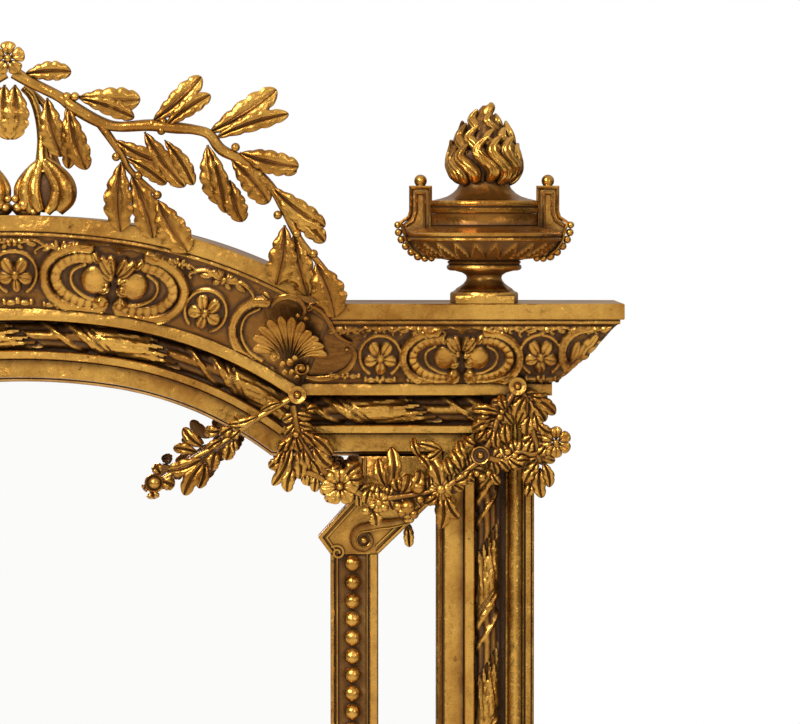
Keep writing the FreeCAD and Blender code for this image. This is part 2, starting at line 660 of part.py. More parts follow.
def build_rods():
    """Half-round rods in the troughs of the stiles, rails and arch."""
    floor = "Plan.front + Sizes.trough_setback"
    stile_radius = "Sizes.stile_trough_width / 2 - Sizes.rod_clearance"
    stile_middle = "Sizes.sight_half_width + " + total("stile", ["sight", "fascia", "fillet"]) \
        + " + Sizes.stile_trough_width / 2"
    pair("stile_ribbon_rod",
         cylinder("right_stile_ribbon_rod", stile_radius, "Plan.wing_sight - Sizes.base_height",
                  UPRIGHT_ROD, (stile_middle, floor, "Sizes.base_height"), 180))

    radius = "Sizes.rail_trough_width / 2 - Sizes.rod_clearance"
    before = total("rail", ["sight", "fascia", "fillet"])
    middle = before + " + Sizes.rail_trough_width / 2"
    start = f"Plan.mitre_in + Plan.mitre_lean * ({before} + Sizes.rail_trough_width)" \
        " + Sizes.rod_end_gap"
    end = f"Sizes.sight_half_width + Plan.stile_width * {before}" \
        " / (Plan.cap_foot - Plan.wing_sight) - Sizes.rod_end_gap"
    pair("wing_ribbon_rod",
         cylinder("right_wing_ribbon_rod", radius, f"{end} - ({start})", LYING_ROD,
                  (end, floor, f"Plan.wing_sight + {middle}"), 180))
    keep(cylinder("bottom_ribbon_rod", radius, "2 * Sizes.sight_half_width", LYING_ROD,
                  ("Sizes.sight_half_width", floor, f"Sizes.base_height - ({middle})"), 180))
    face = half_round_face(value(middle), value(floor), value(radius))
    keep(computed("arch_ribbon_rod", arch_sweep(face, size("rod_end_gap"))))


# ---------------------------------------------------------------- frieze

def build_frieze(right_cornice, arch_cornice):
    """Relief slabs on the slopes, and a shell over each mitre."""
    margin = "Sizes.carving_margin"
    slope = "Sizes.frieze_projection / Sizes.wing_frieze_height"
    low = (f"Plan.cap_front - {margin} * {slope}", f"Plan.cornice_foot + {margin}")
    high = (f"Plan.frieze_front + {margin} * {slope}", f"Plan.frieze_top - {margin}")

    def slab(label, thickness):
        """A slab on the wing's slope, as long as the whole wing."""
        return padded(label, "YZ_Plane",
                      [low, high, (f"{high[0]} - {thickness}", high[1]),
                       (f"{low[0]} - {thickness}", low[1])], "Plan.cornice_outer", "0")

    inner = "Plan.shell_x + Sizes.shell_radius + Sizes.shell_gap"
    outline = padded(
        "carving_outline", "XZ_Plane",
        [(inner, low[1]), (f"Plan.cap_outer + {margin} * {slope}", low[1]),
         (f"Plan.frieze_outer - {margin} * {slope}", high[1]), (inner, high[1])],
        "Plan.wall - Plan.cornice_front", "-Plan.wall")
    carving = combined("Part::Common", "right_frieze_carving",
                       slab("carving_section", "Sizes.carving_thickness"), outline)
    pair("frieze_carving", carving)

    disc = cylinder("shell_disc", "Sizes.shell_radius", "Plan.wall - Plan.cornice_front",
                    TO_VIEWER, ("Plan.shell_x", "Plan.wall", "Plan.shell_z"))
    block = combined("Part::Common", "shell_block",
                     slab("shell_section", "Sizes.shell_thickness"), disc)
    pair("corner_shell", scribed("right_corner_shell", block, [arch_cornice, right_cornice]))

    rail, rise = plan.rail_width, size("arch_frieze_height")
    inset, thick = size("carving_margin"), size("carving_thickness")
    lean = size("frieze_projection") / rise
    corners = [(rail + inset, plan.cap_front - inset * lean),
               (rail + rise - inset, plan.frieze_front + inset * lean)]
    corners += [(offset, depth - thick) for offset, depth in reversed(corners)]
    relief = arch_sweep(section_face([(str(offset), str(depth)) for offset, depth in corners]))
    radius = size("shell_radius") + size("shell_gap")
    for sign in (-1, 1):
        foot = Vector(sign * plan.shell_x, plan.wall, plan.shell_z)
        room = Part.makeCylinder(radius, 2 * (plan.wall - plan.cornice_front), foot,
                                 Vector(0, -1, 0))
        relief = relief.cut(room)
    middle = max(relief.Solids, key=lambda solid: solid.Volume)
    relief = keep(computed("arch_frieze_carving", middle))
    return carving, relief


# ---------------------------------------------------------------- plates and back

def arched_panel(deep, thickness):
    """A panel with the arch's outline at its head, inside the rebates."""
    inside = size("rebate_lip") - size("glass_clearance")
    side = plan.tongue_inner - size("glass_clearance")
    foot, head = plan.plate_foot, plan.plate_head
    reach = shoulder.radius + inside
    spring_x = shoulder.centre.x + math.sqrt(reach ** 2 - (head - shoulder.centre.z) ** 2)
    spring = Vector(spring_x, deep, head)
    joint = shoulder.point(inside, deep, crown_angle)
    turn = (crown_angle + math.degrees(math.acos((head - shoulder.centre.z) / reach))) / 2
    haunch = shoulder.point(inside, deep, turn)
    top = crown.point(inside, deep, 0)

    def flip(point):
        return Vector(-point.x, point.y, point.z)

    corners = [spring, Vector(side, deep, head), Vector(side, deep, foot),
               Vector(-side, deep, foot), Vector(-side, deep, head), flip(spring)]
    edges = [Part.LineSegment(one, two).toShape() for one, two in zip(corners, corners[1:])]
    edges += [Part.Arc(flip(spring), flip(haunch), flip(joint)).toShape(),
              Part.Arc(flip(joint), top, joint).toShape(),
              Part.Arc(joint, haunch, spring).toShape()]
    return Part.Face(Part.Wire(edges)).extrude(Vector(0, thickness, 0))


def screw(across, back, up):
    """A flat-headed screw driven in from the back."""
    head = Part.makeCylinder(size("screw_head_radius"), size("screw_head_height"),
                             Vector(across, back, up), Vector(0, -1, 0))
    shank = Part.makeCylinder(size("screw_radius"), size("screw_length"),
                              Vector(across, back, up), Vector(0, -1, 0))
    return head.fuse(shank).removeSplitter()


def build_back():
    """Mirror plates, backboards, battens and the screws that hold them."""
    keep(computed("central_mirror_plate",
                  arched_panel(plan.glass_front, size("glass_thickness"))))
    keep(computed("centre_backboard",
                  arched_panel(plan.glass_back, size("backboard_thickness"))))
    across = ("Plan.tongue_outer + Sizes.glass_clearance", "Plan.plate_side")
    up = ("Plan.plate_foot", "Plan.plate_head")
    pair("mirror_slip", box("right_mirror_slip", across, ("Plan.glass_front", "Plan.glass_back"), up))
    pair("backboard", box("right_backboard", across, ("Plan.glass_back", "Plan.board_back"), up))

    half = size("screw_spacing") / 2
    solids = []
    for middle, back in ((plan.upper_batten, plan.iron_back), (plan.lower_batten, plan.batten_back)):
        for side in (-plan.tongue_middle, plan.tongue_middle):
            solids += [screw(side, back, middle - half), screw(side, back, middle + half)]
    screws = keep(computed("back_screws", Part.makeCompound(solids)))
    for name in ("upper", "lower"):
        board = box(name + "_batten_board", ("-Plan.plate_side", "Plan.plate_side"),
                    ("Plan.board_back", "Plan.batten_back"),
                    (f"Plan.{name}_batten - Sizes.batten_height / 2",
                     f"Plan.{name}_batten + Sizes.batten_height / 2"))
        keep(combined("Part::Cut", name + "_back_batten", board, screws))
    return screws


def build_bead_rails(screws):
    """Rails between the plates: a bordered front and a tongue behind it."""
    rail = doc.addObject("PartDesign::Body", "bead_rail_bar")
    pad(rail, "XY_Plane",
        [("Plan.bead_inner", "Plan.glass_front"), ("Plan.bead_inner", "Plan.bead_front"),
         ("Plan.field_inner", "Plan.bead_front"), ("Plan.field_inner", "Plan.field_front"),
         ("Plan.field_outer", "Plan.field_front"), ("Plan.field_outer", "Plan.bead_front"),
         ("Plan.bead_outer", "Plan.bead_front"), ("Plan.bead_outer", "Plan.glass_front")],
        "Plan.bead_head - Plan.bead_foot", "Plan.bead_foot")
    pad(rail, "XY_Plane",
        [("Plan.tongue_inner", "Plan.glass_front"), ("Plan.tongue_outer", "Plan.glass_front"),
         ("Plan.tongue_outer", "Plan.board_back"), ("Plan.tongue_inner", "Plan.board_back")],
        "Plan.plate_head - Plan.plate_foot", "Plan.plate_foot")
    pair("bead_rail", combined("Part::Cut", "right_bead_rail", rail, screws))

    radius, pitch, seat = size("bead_radius"), size("bead_pitch"), size("bead_seat")
    across = (plan.field_inner + plan.field_outer) / 2
    centre = Vector(across, plan.field_front - seat, 0)
    ground = Part.makeBox(4 * radius, 4 * radius, 4 * radius,
                          Vector(across - 2 * radius, plan.field_front, -2 * radius))
    bead = Part.makeSphere(radius, centre).cut(ground)
    first = plan.bead_head - radius - size("bead_end_gap")
    last = plan.bead_foot + radius + size("bead_end_gap")
    steps = int((first - last) / pitch)
    beads = [bead.translated(Vector(0, 0, first - step * pitch)) for step in range(steps + 1)]
    pair("bead_string", computed("right_bead_string", Part.makeCompound(beads)))


def build_brackets():
    """Scrolled brackets between bead rail, wing rail and stile."""
    def outline(height):
        """The bracket's corners, with heights measured from a sight edge."""
        neck = "Plan.bead_inner + Sizes.bracket_neck_inset"
        return [(neck, height("0")), (neck, height("Sizes.bracket_neck_height")),
                ("Plan.bead_inner - Sizes.bracket_ear", height("Sizes.bracket_ear_height")),
                ("Plan.bead_inner", height("Sizes.bracket_height")),
                ("Plan.bead_outer", height("Sizes.bracket_height")),
                ("Sizes.sight_half_width", height("Sizes.bracket_stile_height")),
                ("Sizes.sight_half_width", height("0"))]

    thickness = "Sizes.glass_setback - Sizes.bracket_setback"
    for name, height in (("upper_bracket", lambda drop: f"Plan.wing_sight - {drop}"),
                         ("lower_bracket", lambda drop: f"Sizes.base_height + {drop}")):
        pair(name, padded("right_" + name, "XZ_Plane", outline(height), thickness,
                          "-Plan.glass_front"))


# ---------------------------------------------------------------- urns

def build_urns():
    """Flaming urns on the wings: body, lid, flame and two handles each."""
    heights = {}
    height = "0"
    for member in ("plinth", "stem", "ring", "bowl", "rim", "shoulder", "drum"):
        height += f" + Sizes.urn_{member}_height"
        heights[member] = height
    narrow = f"{heights['plinth']} + Sizes.urn_stem_height / 2"
    hollow = "Sizes.urn_stem_hollow"
    body = place(turned("urn_turning", [
        ("0", "0"), ("Sizes.urn_plinth_radius", "0"),
        ("Sizes.urn_plinth_radius", heights["plinth"]),
        ("Sizes.urn_foot_radius", heights["plinth"], hollow),
        ("Sizes.urn_stem_radius", narrow, hollow),
        ("Sizes.urn_foot_radius", heights["stem"]),
        ("Sizes.urn_ring_radius", heights["stem"]),
        ("Sizes.urn_ring_radius", heights["ring"], "-Sizes.urn_bowl_swell"),
        ("Sizes.urn_bowl_radius", heights["bowl"]),
        ("Sizes.urn_bowl_radius", heights["rim"]),
        ("Sizes.urn_drum_radius", heights["shoulder"]),
        ("Sizes.urn_drum_radius", heights["drum"]), ("0", heights["drum"])]),
        "Plan.urn_x", "Plan.urn_y", "Sizes.cornice_top_height")
    block = box("urn_break",
                ("Plan.urn_x - Sizes.urn_break_width / 2", "Plan.urn_x + Sizes.urn_break_width / 2"),
                ("Plan.cornice_front", "Plan.urn_y"),
                ("Sizes.cornice_top_height", "Sizes.cornice_top_height + Sizes.urn_break_height"))
    urn_body = combined("Part::Fuse", "right_urn_body", body, block)
    pair("urn_body", urn_body)

    lid_foot = f"Sizes.cornice_top_height + {heights['drum']}"
    lid_radius = "Sizes.urn_drum_radius + Sizes.urn_lid_overhang"
    lid_top = "Sizes.urn_lid_rim_height + Sizes.urn_lid_height"
    lid = turned("right_urn_lid", [
        ("0", "0"), (lid_radius, "0"),
        (lid_radius, "Sizes.urn_lid_rim_height", "Sizes.urn_lid_hollow"),
        ("Sizes.urn_neck_radius", lid_top), ("0", lid_top)])
    pair("urn_lid", place(lid, "Plan.urn_x", "Plan.urn_y", lid_foot))

    swell = "-Sizes.urn_flame_swell"
    flame = turned("right_urn_flame", [
        ("0", "0"), ("Sizes.urn_neck_radius", "0", swell),
        ("Sizes.urn_flame_radius", "Sizes.urn_flame_belly", swell),
        ("Sizes.urn_flame_tip", "Sizes.urn_flame_height"), ("0", "Sizes.urn_flame_height")])
    pair("urn_flame", place(flame, "Plan.urn_x", "Plan.urn_y", f"{lid_foot} + {lid_top}"))

    inner = f"{lid_radius} + Sizes.urn_handle_gap"
    outer = f"{inner} + Sizes.urn_handle_width"
    reach = "Sizes.urn_bowl_radius + Sizes.urn_ear_reach"
    low = f"{heights['rim']} - Sizes.urn_ear_depth"
    high = f"{heights['rim']} + Sizes.urn_handle_rise"
    tail = "Sizes.urn_bowl_radius - Sizes.urn_ear_tail"
    strap = padded("urn_strap", "XZ_Plane", [
        (inner, heights["rim"]), (inner, high), (outer, high),
        (outer, f"{heights['rim']} + Sizes.urn_ear_turn"),
        (reach, heights["rim"]), (reach, f"{low} + Sizes.urn_ear_turn"),
        (f"{reach} - Sizes.urn_ear_turn", low), (tail, low)],
        "Sizes.urn_handle_thickness", "-Sizes.urn_handle_thickness / 2")
    place(strap, "Plan.urn_x", "Plan.urn_y", "Sizes.cornice_top_height")
    ball = doc.addObject("Part::Sphere", "urn_ball")
    ball.setExpression("Radius", "Sizes.urn_handle_ball")
    place(ball, f"Plan.urn_x + {inner} + Sizes.urn_handle_width / 2", "Plan.urn_y",
          f"Sizes.cornice_top_height + {high} + Sizes.urn_handle_ball / 2")
    whole = combined("Part::Fuse", "urn_strap_with_ball", strap, ball)
    outside = combined("Part::Cut", "urn_outer_handle", whole, urn_body)
    inside = mirrored("urn_inner_handle", outside, "Plan.urn_x")
    pair("urn_handles", grouped("Part::Compound", "Links", "right_urn_handles", [outside, inside]))


# ---------------------------------------------------------------- foliage

class Foliage:
    """Flat carved work: leaves, stalks and discs merged, then given a thickness.

    Places are (across, up) from an origin, in a plane that faces the viewer.
    """

    def __init__(self, origin_x, origin_z, stretch=1):
        self.origin_x = origin_x
        self.origin_z = origin_z
        self.stretch = stretch
        self.faces = []

    def at(self, spot):
        """A place as a point."""
        return Vector(self.origin_x + spot[0] * self.stretch, 0, self.origin_z + spot[1])

    def disc(self, centre, radius):
        """A round berry, flower or collar."""
        ring = Part.makeCircle(radius, self.at(centre), Vector(0, -1, 0))
        self.faces.append(Part.Face(Part.Wire(ring)))

    def leaf(self, root, tip, width):
        """A leaf between two arcs."""
        start, end = self.at(root), self.at(tip)
        along = end - start
        side = Vector(along.z, 0, -along.x).normalize() * (width / 2)
        middle = (start + end) / 2
        edges = [Part.Arc(start, middle + side, end).toShape(),
                 Part.Arc(end, middle - side, start).toShape()]
        self.faces.append(Part.Face(Part.Wire(edges)))

    def stalk(self, places, width):
        """A stalk of straight runs with round joints."""
        points = [self.at(spot) for spot in places]
        for spot in places:
            self.disc(spot, width / 2)
        for start, end in zip(points, points[1:]):
            along = end - start
            side = Vector(along.z, 0, -along.x).normalize() * (width / 2)
            corners = [start + side, end + side, end - side, start - side]
            self.faces.append(Part.Face(Part.makePolygon(corners + corners[:1])))

    def flower(self, centre, radius, petals=5):
        """Round petals about a round eye."""
        self.disc(centre, radius * 0.5)
        for petal in range(petals):
            turn = math.radians(90 + petal * 360 / petals)
            spot = (centre[0] + radius * 0.55 * math.cos(turn),
                    centre[1] + radius * 0.55 * math.sin(turn))
            self.disc(spot, radius * 0.45)

    def solid(self, back, thickness):
        """The merged work, from a back plane towards the viewer."""
        shift = Vector(0, back, 0)
        slabs = [face.translated(shift).extrude(Vector(0, -thickness, 0)) for face in self.faces]
        return slabs[0].multiFuse(slabs[1:]).removeSplitter()


# Laurel branch, from the arch's highest point: stalk, side twig and leaves.
LAUREL_STALK = [(4, 172), (19, 164), (56, 146), (106, 114), (131, 108), (200, 107), (244, 98),
                (288, 64), (338, 4), (388, -71), (404, -104)]
LAUREL_TWIG = [(106, 114), (136, 70), (146, 52), (179, 23)]
LAUREL_LEAVES = [
    # root, tip, width
    ((12, 168), (71, 177), 19),
    ((81, 136), (158, 142), 25),
    ((41, 148), (59, 70), 25),
    ((69, 136), (90, 54), 22),
    ((10, 165), (2, 92), 26),
    ((172, 108), (234, 170), 21),
    ((189, 107), (245, 148), 18),
    ((242, 98), (328, 154), 25),
    ((250, 93), (342, 124), 18),
    ((281, 70), (355, 58), 22),
    ((241, 96), (259, 11), 25),
    ((269, 76), (284, -11), 21),
    ((276, 72), (318, 13), 25),
    ((321, 27), (388, -17), 21),
    ((335, 6), (388, -36), 20),
    ((140, 62), (190, 37), 15),
    ((158, 107), (212, 33), 22),
    ((136, 66), (132, -22), 28),
    ((146, 52), (172, -31), 28),
    ((176, 25), (216, -48), 30),
    ((338, 4), (327, -90), 28),
    ((352, -17), (366, -103), 28),
    ((380, -60), (400, -130), 32),
]

# Stems that rise from the knot to the laurel, on each side.
BOW_STALK = [(30, 158), (34, 92)]

# Garland, from the inner knob: across as a share of the way to the lower knob.
GARLAND_STALK = [(0, 0), (0.03, -56), (0.05, -110), (0.16, -126), (0.24, -128), (0.45, -148),
                 (0.67, -130), (0.78, -132), (0.94, -106), (1, -76), (1.14, -55), (1.19, 11)]
GARLAND_LEAVES = [
    ((0.02, -50), (-0.14, -88), 20),
    ((0.02, -58), (-0.12, -112), 20),
    ((0.03, -66), (-0.04, -120), 20),
    ((0.03, -66), (0.03, -112), 20),
    ((0.03, -58), (0.17, -82), 20),
    ((0.54, -136), (0.51, -65), 18),
    ((0.67, -125), (0.65, -55), 18),
    ((0.77, -125), (0.74, -68), 18),
    ((0.78, -128), (0.77, -165), 22),
    ((1, -80), (0.96, -11), 25),
    ((1.12, -60), (1.04, -11), 22),
    ((1.18, -10), (1.28, -67), 22),
    ((1.15, -52), (1.25, -100), 18),
    ((1.16, -50), (1.32, -127), 20),
    ((1.15, -52), (1.22, -126), 20),
    ((1.19, 0), (1.38, -25), 20),
]
GARLAND_FLOWERS = [(0.24, -114), (0.45, -134), (0.67, -116), (0.64, -138), (0.78, -118),
                   (1.38, -61), (1.27, -55)]
FLOWER_RADIUS = 15

# Sprig, from the inner knob.
SPRIG_STALK = [(-11, -4), (-41, -22), (-72, -51), (-103, -74), (-149, -92), (-176, -109)]
SPRIG_LEAVES = [
    ((-108, -76), (-136, -38), 18),
    ((-112, -78), (-152, -65), 15),
    ((-118, -80), (-161, -85), 15),
    ((-112, -78), (-139, -124), 15),
    ((-103, -74), (-114, -112), 15),
    ((-87, -62), (-106, -42), 15),
]
SPRIG_ROSETTE = (-176, -109)


def build_crest(arch_cornice):
    """Two laurel branches, the flower on their joint and the knot under them."""
    branch = Foliage(0, plan.arch_top)
    branch.stalk(LAUREL_STALK, size("laurel_stalk_width"))
    branch.stalk(LAUREL_TWIG, size("laurel_stalk_width"))
    for root, tip, width in LAUREL_LEAVES:
        branch.leaf(root, tip, width)
    solid = branch.solid(plan.cornice_front, size("laurel_thickness"))
    span = plan.cornice_outer
    half = Part.makeBox(span, span, 2 * span,
                        Vector(size("laurel_joint"), plan.cornice_front - span / 2,
                               plan.arch_top - span))
    pair("laurel_branch", computed("right_laurel_branch", solid.common(half)))

    flower = Foliage(0, plan.arch_top)
    flower.flower((0, size("flower_height")), size("flower_radius"))
    keep(computed("crest_flower", flower.solid(plan.cornice_front - size("laurel_thickness"),
                                               size("flower_thickness"))))

    bow = Foliage(0, plan.arch_top)
    knot = (size("bow_knot_offset"), size("bow_knot_height"))
    width = size("bow_stalk_width")
    for sign in (-1, 1):
        centre = (sign * knot[0], knot[1])
        bow.disc(centre, size("bow_knot_radius"))
        bow.stalk([(sign * across, up) for across, up in LAUREL_STALK[1:3]], width)
        bow.stalk([(sign * across, up) for across, up in BOW_STALK] + [centre], width)
    bow.stalk([(-knot[0], knot[1] / 2), (knot[0], knot[1] / 2)], width)
    thickness = size("bow_thickness")
    solid = bow.solid(plan.cornice_front + thickness, thickness)
    keep(computed("crest_bow", solid.cut(arch_cornice.Shape)))


def build_garlands(neighbours):
    """Knobs, and the garland and sprig that hang from them, fitted to the cornice."""
    knobs = {"inner": (plan.inner_knob_x, plan.cornice_foot - size("inner_knob_drop")),
             "outer": (plan.outer_knob_x, plan.cornice_foot - size("outer_knob_drop")),
             "lower": (plan.lower_knob_x, plan.cornice_foot - size("lower_knob_drop"))}
    backs = {"inner": "Plan.cap_front", "outer": "Plan.cap_front",
             "lower": "Plan.front + Sizes.fillet_setback"}
    turnings = []
    for name, back in backs.items():
        turnings.append(cylinder(
            name + "_knob", "Sizes.knob_radius",
            f"{back} - Plan.cap_front + Sizes.knob_length", TO_VIEWER,
            (f"Plan.{name}_knob_x", back, f"Plan.cornice_foot - Sizes.{name}_knob_drop")))
    right = grouped("Part::Compound", "Links", "right_knobs", turnings)
    fitted = scribed("right_knobs_fitted", right, neighbours)
    keep(grouped("Part::Compound", "Links", "rosette_knobs",
                 [fitted, mirrored("left_knobs", fitted)]))

    room = size("knob_radius") + size("knob_clearance")
    collar = size("knob_radius") + size("knob_collar")
    thickness = size("garland_thickness")
    holes = [Part.makeCylinder(room, 3 * thickness,
                               Vector(across, plan.cap_front + thickness, up), Vector(0, -1, 0))
             for across, up in knobs.values()]

    inner = knobs["inner"]
    garland = Foliage(inner[0], inner[1], knobs["lower"][0] - inner[0])
    garland.stalk(GARLAND_STALK, size("garland_stalk_width"))
    for root, tip, width in GARLAND_LEAVES:
        garland.leaf(root, tip, width)
    for centre in GARLAND_FLOWERS:
        garland.disc(centre, FLOWER_RADIUS)
    garland.stalk(GARLAND_FLOWERS[-2:], size("garland_stalk_width"))
    for across, up in knobs.values():
        garland.disc(((across - inner[0]) / garland.stretch, up - inner[1]), collar)
    solid = garland.solid(plan.cap_front, thickness)
    solid = solid.cut(holes + [neighbour.Shape for neighbour in neighbours])
    pair("garland", computed("right_garland", solid))

    sprig = Foliage(*inner)
    sprig.stalk(SPRIG_STALK, size("sprig_stalk_width"))
    for root, tip, width in SPRIG_LEAVES:
        sprig.leaf(root, tip, width)
    sprig.flower(SPRIG_ROSETTE, 2 * size("knob_radius"))
    ring = Part.makeCylinder(collar + size("knob_clearance"), 3 * thickness,
                             Vector(inner[0], plan.cap_front + thickness, inner[1]),
                             Vector(0, -1, 0))
    solid = sprig.solid(plan.cap_front, thickness).cut(ring)
    pair("sprig", computed("right_sprig", solid))


# ---------------------------------------------------------------- hanging irons

def build_irons(screws):
    """Screwed plates with hinge eyes, and the rings that swing in them."""
    middle, up = "Plan.tongue_middle", "Plan.upper_batten"
    half = "Sizes.iron_width / 2"
    plate = box("iron_plate", (f"{middle} - {half}", f"{middle} + {half}"),
                ("Plan.batten_back", "Plan.iron_back"),
                (f"{up} - Sizes.iron_height / 2", f"{up} + Sizes.iron_height / 2"))
    start = (f"{middle} - {half}", "Plan.eye_y", up)
    barrel = cylinder("iron_barrel", "Plan.eye_bore + Sizes.eye_wall", "Sizes.iron_width",
                      ALONG_X, start)
    bore = cylinder("iron_bore", "Plan.eye_bore", "Sizes.iron_width", ALONG_X, start)
    joined = combined("Part::Fuse", "iron_joined", plate, barrel)
    bored = combined("Part::Cut", "iron_bored", joined, bore)
    right = combined("Part::Cut", "right_iron", bored, screws)
    keep(grouped("Part::Compound", "Links", "hanger_plates", [right, mirrored("left_iron", right)]))

    bar = cylinder("ring_bar", "Sizes.ring_wire_radius", "2 * Sizes.ring_radius", ALONG_X,
                   (f"{middle} - Sizes.ring_radius", "Plan.eye_y", up))
    bow = doc.addObject("Part::Torus", "ring_bow")
    bow.setExpression("Radius1", "Sizes.ring_radius")
    bow.setExpression("Radius2", "Sizes.ring_wire_radius")
    bow.Angle3 = 180
    bow.Placement = FreeCAD.Placement(Vector(), RING_BOW)
    place(bow, middle, "Plan.eye_y", up)
    corners = []
    for name, sign in (("ring_near_corner", "-"), ("ring_far_corner", "+")):
        corner = doc.addObject("Part::Sphere", name)
        corner.setExpression("Radius", "Sizes.ring_wire_radius")
        corners.append(place(corner, f"{middle} {sign} Sizes.ring_radius", "Plan.eye_y", up))
    pair("hanger_ring", grouped("Part::MultiFuse", "Shapes", "right_hanger_ring",
                                [bar, bow] + corners))


def check(piece):
    """Stop if a kept piece failed or has no sound solid."""
    if piece.Shape.isNull() or not piece.Shape.isValid() or not piece.Shape.Solids:
        raise RuntimeError(f"{piece.Label} has no sound shape")


def main():
    build_stiles()
    build_wing_rails()
    build_arch_rail()
    build_base()
    right_cornice, arch_cornice = build_cornices()
    build_rods()
    doc.recompute()
    carvings = build_frieze(right_cornice, arch_cornice)
    screws = build_back()
    build_bead_rails(screws)
    build_brackets()
    build_urns()
    doc.recompute()
    build_crest(arch_cornice)
    build_garlands([right_cornice, arch_cornice, *carvings])
    build_irons(screws)
    doc.recompute()

    for item in doc.Objects:
        if {"Invalid", "Error"} & set(item.State):
            raise RuntimeError(f"{item.Label} failed to recompute")
    os.makedirs("parts", exist_ok=True)
    for piece in kept:
        check(piece)
        piece.Shape.exportStep(f"parts/{piece.Label}.step")
    print(len(kept), "pieces")


main()
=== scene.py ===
import math

import bmesh
import bpy
import numpy as np
from bpy.props import FloatProperty, FloatVectorProperty, IntProperty
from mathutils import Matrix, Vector


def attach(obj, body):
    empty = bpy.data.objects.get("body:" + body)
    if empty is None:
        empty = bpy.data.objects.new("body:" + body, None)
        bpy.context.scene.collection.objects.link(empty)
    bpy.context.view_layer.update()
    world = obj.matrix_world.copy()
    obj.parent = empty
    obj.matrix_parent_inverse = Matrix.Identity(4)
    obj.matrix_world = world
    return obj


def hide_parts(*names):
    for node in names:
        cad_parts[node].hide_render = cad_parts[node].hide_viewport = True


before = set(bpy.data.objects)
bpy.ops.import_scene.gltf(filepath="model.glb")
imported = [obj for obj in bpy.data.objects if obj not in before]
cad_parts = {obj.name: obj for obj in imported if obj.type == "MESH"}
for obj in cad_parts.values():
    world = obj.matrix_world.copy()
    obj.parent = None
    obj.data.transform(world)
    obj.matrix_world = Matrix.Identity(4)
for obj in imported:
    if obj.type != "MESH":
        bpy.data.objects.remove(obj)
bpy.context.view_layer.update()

bl_info = {
    "name": "Trumeau Mirror",
    "version": (1, 0, 0),
    "blender": (4, 5, 0),
    "location": "View3D > Sidebar > Trumeau",
    "description": "Builds a carved and gilded trumeau mirror round its fixed frame",
    "category": "Add Mesh",
}

MM = 0.001


# ---------------------------------------------------------------- values

def linear(code):
    """An sRGB hex colour as linear red, green, blue and alpha."""
    parts = [int(code[i:i + 2], 16) / 255 for i in (1, 3, 5)]
    return [c / 12.92 if c <= 0.04045 else ((c + 0.055) / 1.055) ** 2.4 for c in parts] + [1]


def colour(name, text, code):
    """A colour setting."""
    return FloatVectorProperty(name=name, description=text, default=linear(code),
                               subtype="COLOR", size=4, min=0, max=1)


def length(name, text, default):
    """A length setting in metres, given in millimetres."""
    return FloatProperty(name=name, description=text, default=default * MM,
                         unit="LENGTH", min=0, precision=4)


class TrumeauColours(bpy.types.PropertyGroup):
    """Colours of the finishes."""
    # The crests take the bright leaf, as burnish and as painted highlight; sheltered flats take the
    # rubbed leaf, as wear and as painted shade.
    leaf: colour("Gold leaf", "Burnished gold on the crests", "#D5A14C")
    rubbed_and_shaded: colour("Rubbed leaf", "Gold leaf worn thin on the flats", "#A06C2C")
    # The patina colour fills the hollows as wax and as painted shade.
    patina_and_shade: colour("Patina", "Brown size and wax in the hollows", "#4A2D10")
    dust: colour("Dust", "Grey-brown dust in the deepest places", "#5C452A")
    bole: colour("Bole", "Dark clay showing where the leaf is worn", "#4A2A12")
    pine: colour("Pine", "Aged bare pine", "#A07A4E")
    pine_late: colour("Late wood", "Darker rings of the pine", "#74502C")
    iron: colour("Iron", "Forged iron", "#3A3633")
    rust: colour("Rust", "Rust on the iron", "#5A3320")
    steel: colour("Steel", "Screw steel", "#8D8A85")
    silver: colour("Silvering", "Mercury silvering behind the glass", "#FBFBFA")
    floor: colour("Floor", "Pale studio floor", "#E4E2DE")


class TrumeauSizes(bpy.types.PropertyGroup):
    """Sizes that a user would change."""
    stile_pitch: length("Stile pitch", "One turn of the ribbon on a stile", 159)
    arch_pitch: length("Arch pitch", "One turn of the ribbon on the arch", 183)
    bead_radius: length("Bead radius", "Radius of a carved bead", 10.7)
    bead_pitch: length("Bead pitch", "Distance from bead to bead", 23.8)
    seed: IntProperty(name="Seed", description="Seed of the small irregularities",
                      default=7, min=0)


def sizes():
    """The add-on's sizes, as the panel shows them."""
    return bpy.context.scene.trumeau_sizes


def colours():
    """The add-on's colours, as the panel shows them."""
    return bpy.context.scene.trumeau_colours


# The camera's place, in millimetres. A point of the photograph, in pixels from
# its upper left corner, is carried to the model through this one camera.
EYE_X, EYE_Y, EYE_Z = 481, -4500, 1903
AIM_Y, AIM_Z = -110, 1726
PIXEL = 1.25
MIDDLE_X, EYE_LINE = 400, 220.4


def reach(depth):
    """How much larger a pixel is at a depth than at the aimed one."""
    return (depth - EYE_Y) / (AIM_Y - EYE_Y)


def seen(x, y, depth):
    """Where a photographed point lies at a depth: across and up."""
    size = PIXEL * reach(depth)
    return EYE_X + (x - MIDDLE_X) * size, EYE_Z + (EYE_LINE - y) * size


def pixel(across, up, depth):
    """The photographed point of a place."""
    size = PIXEL * reach(depth)
    return MIDDLE_X + (across - EYE_X) / size, EYE_LINE - (up - EYE_Z) / size


# ---------------------------------------------------------------- shaping

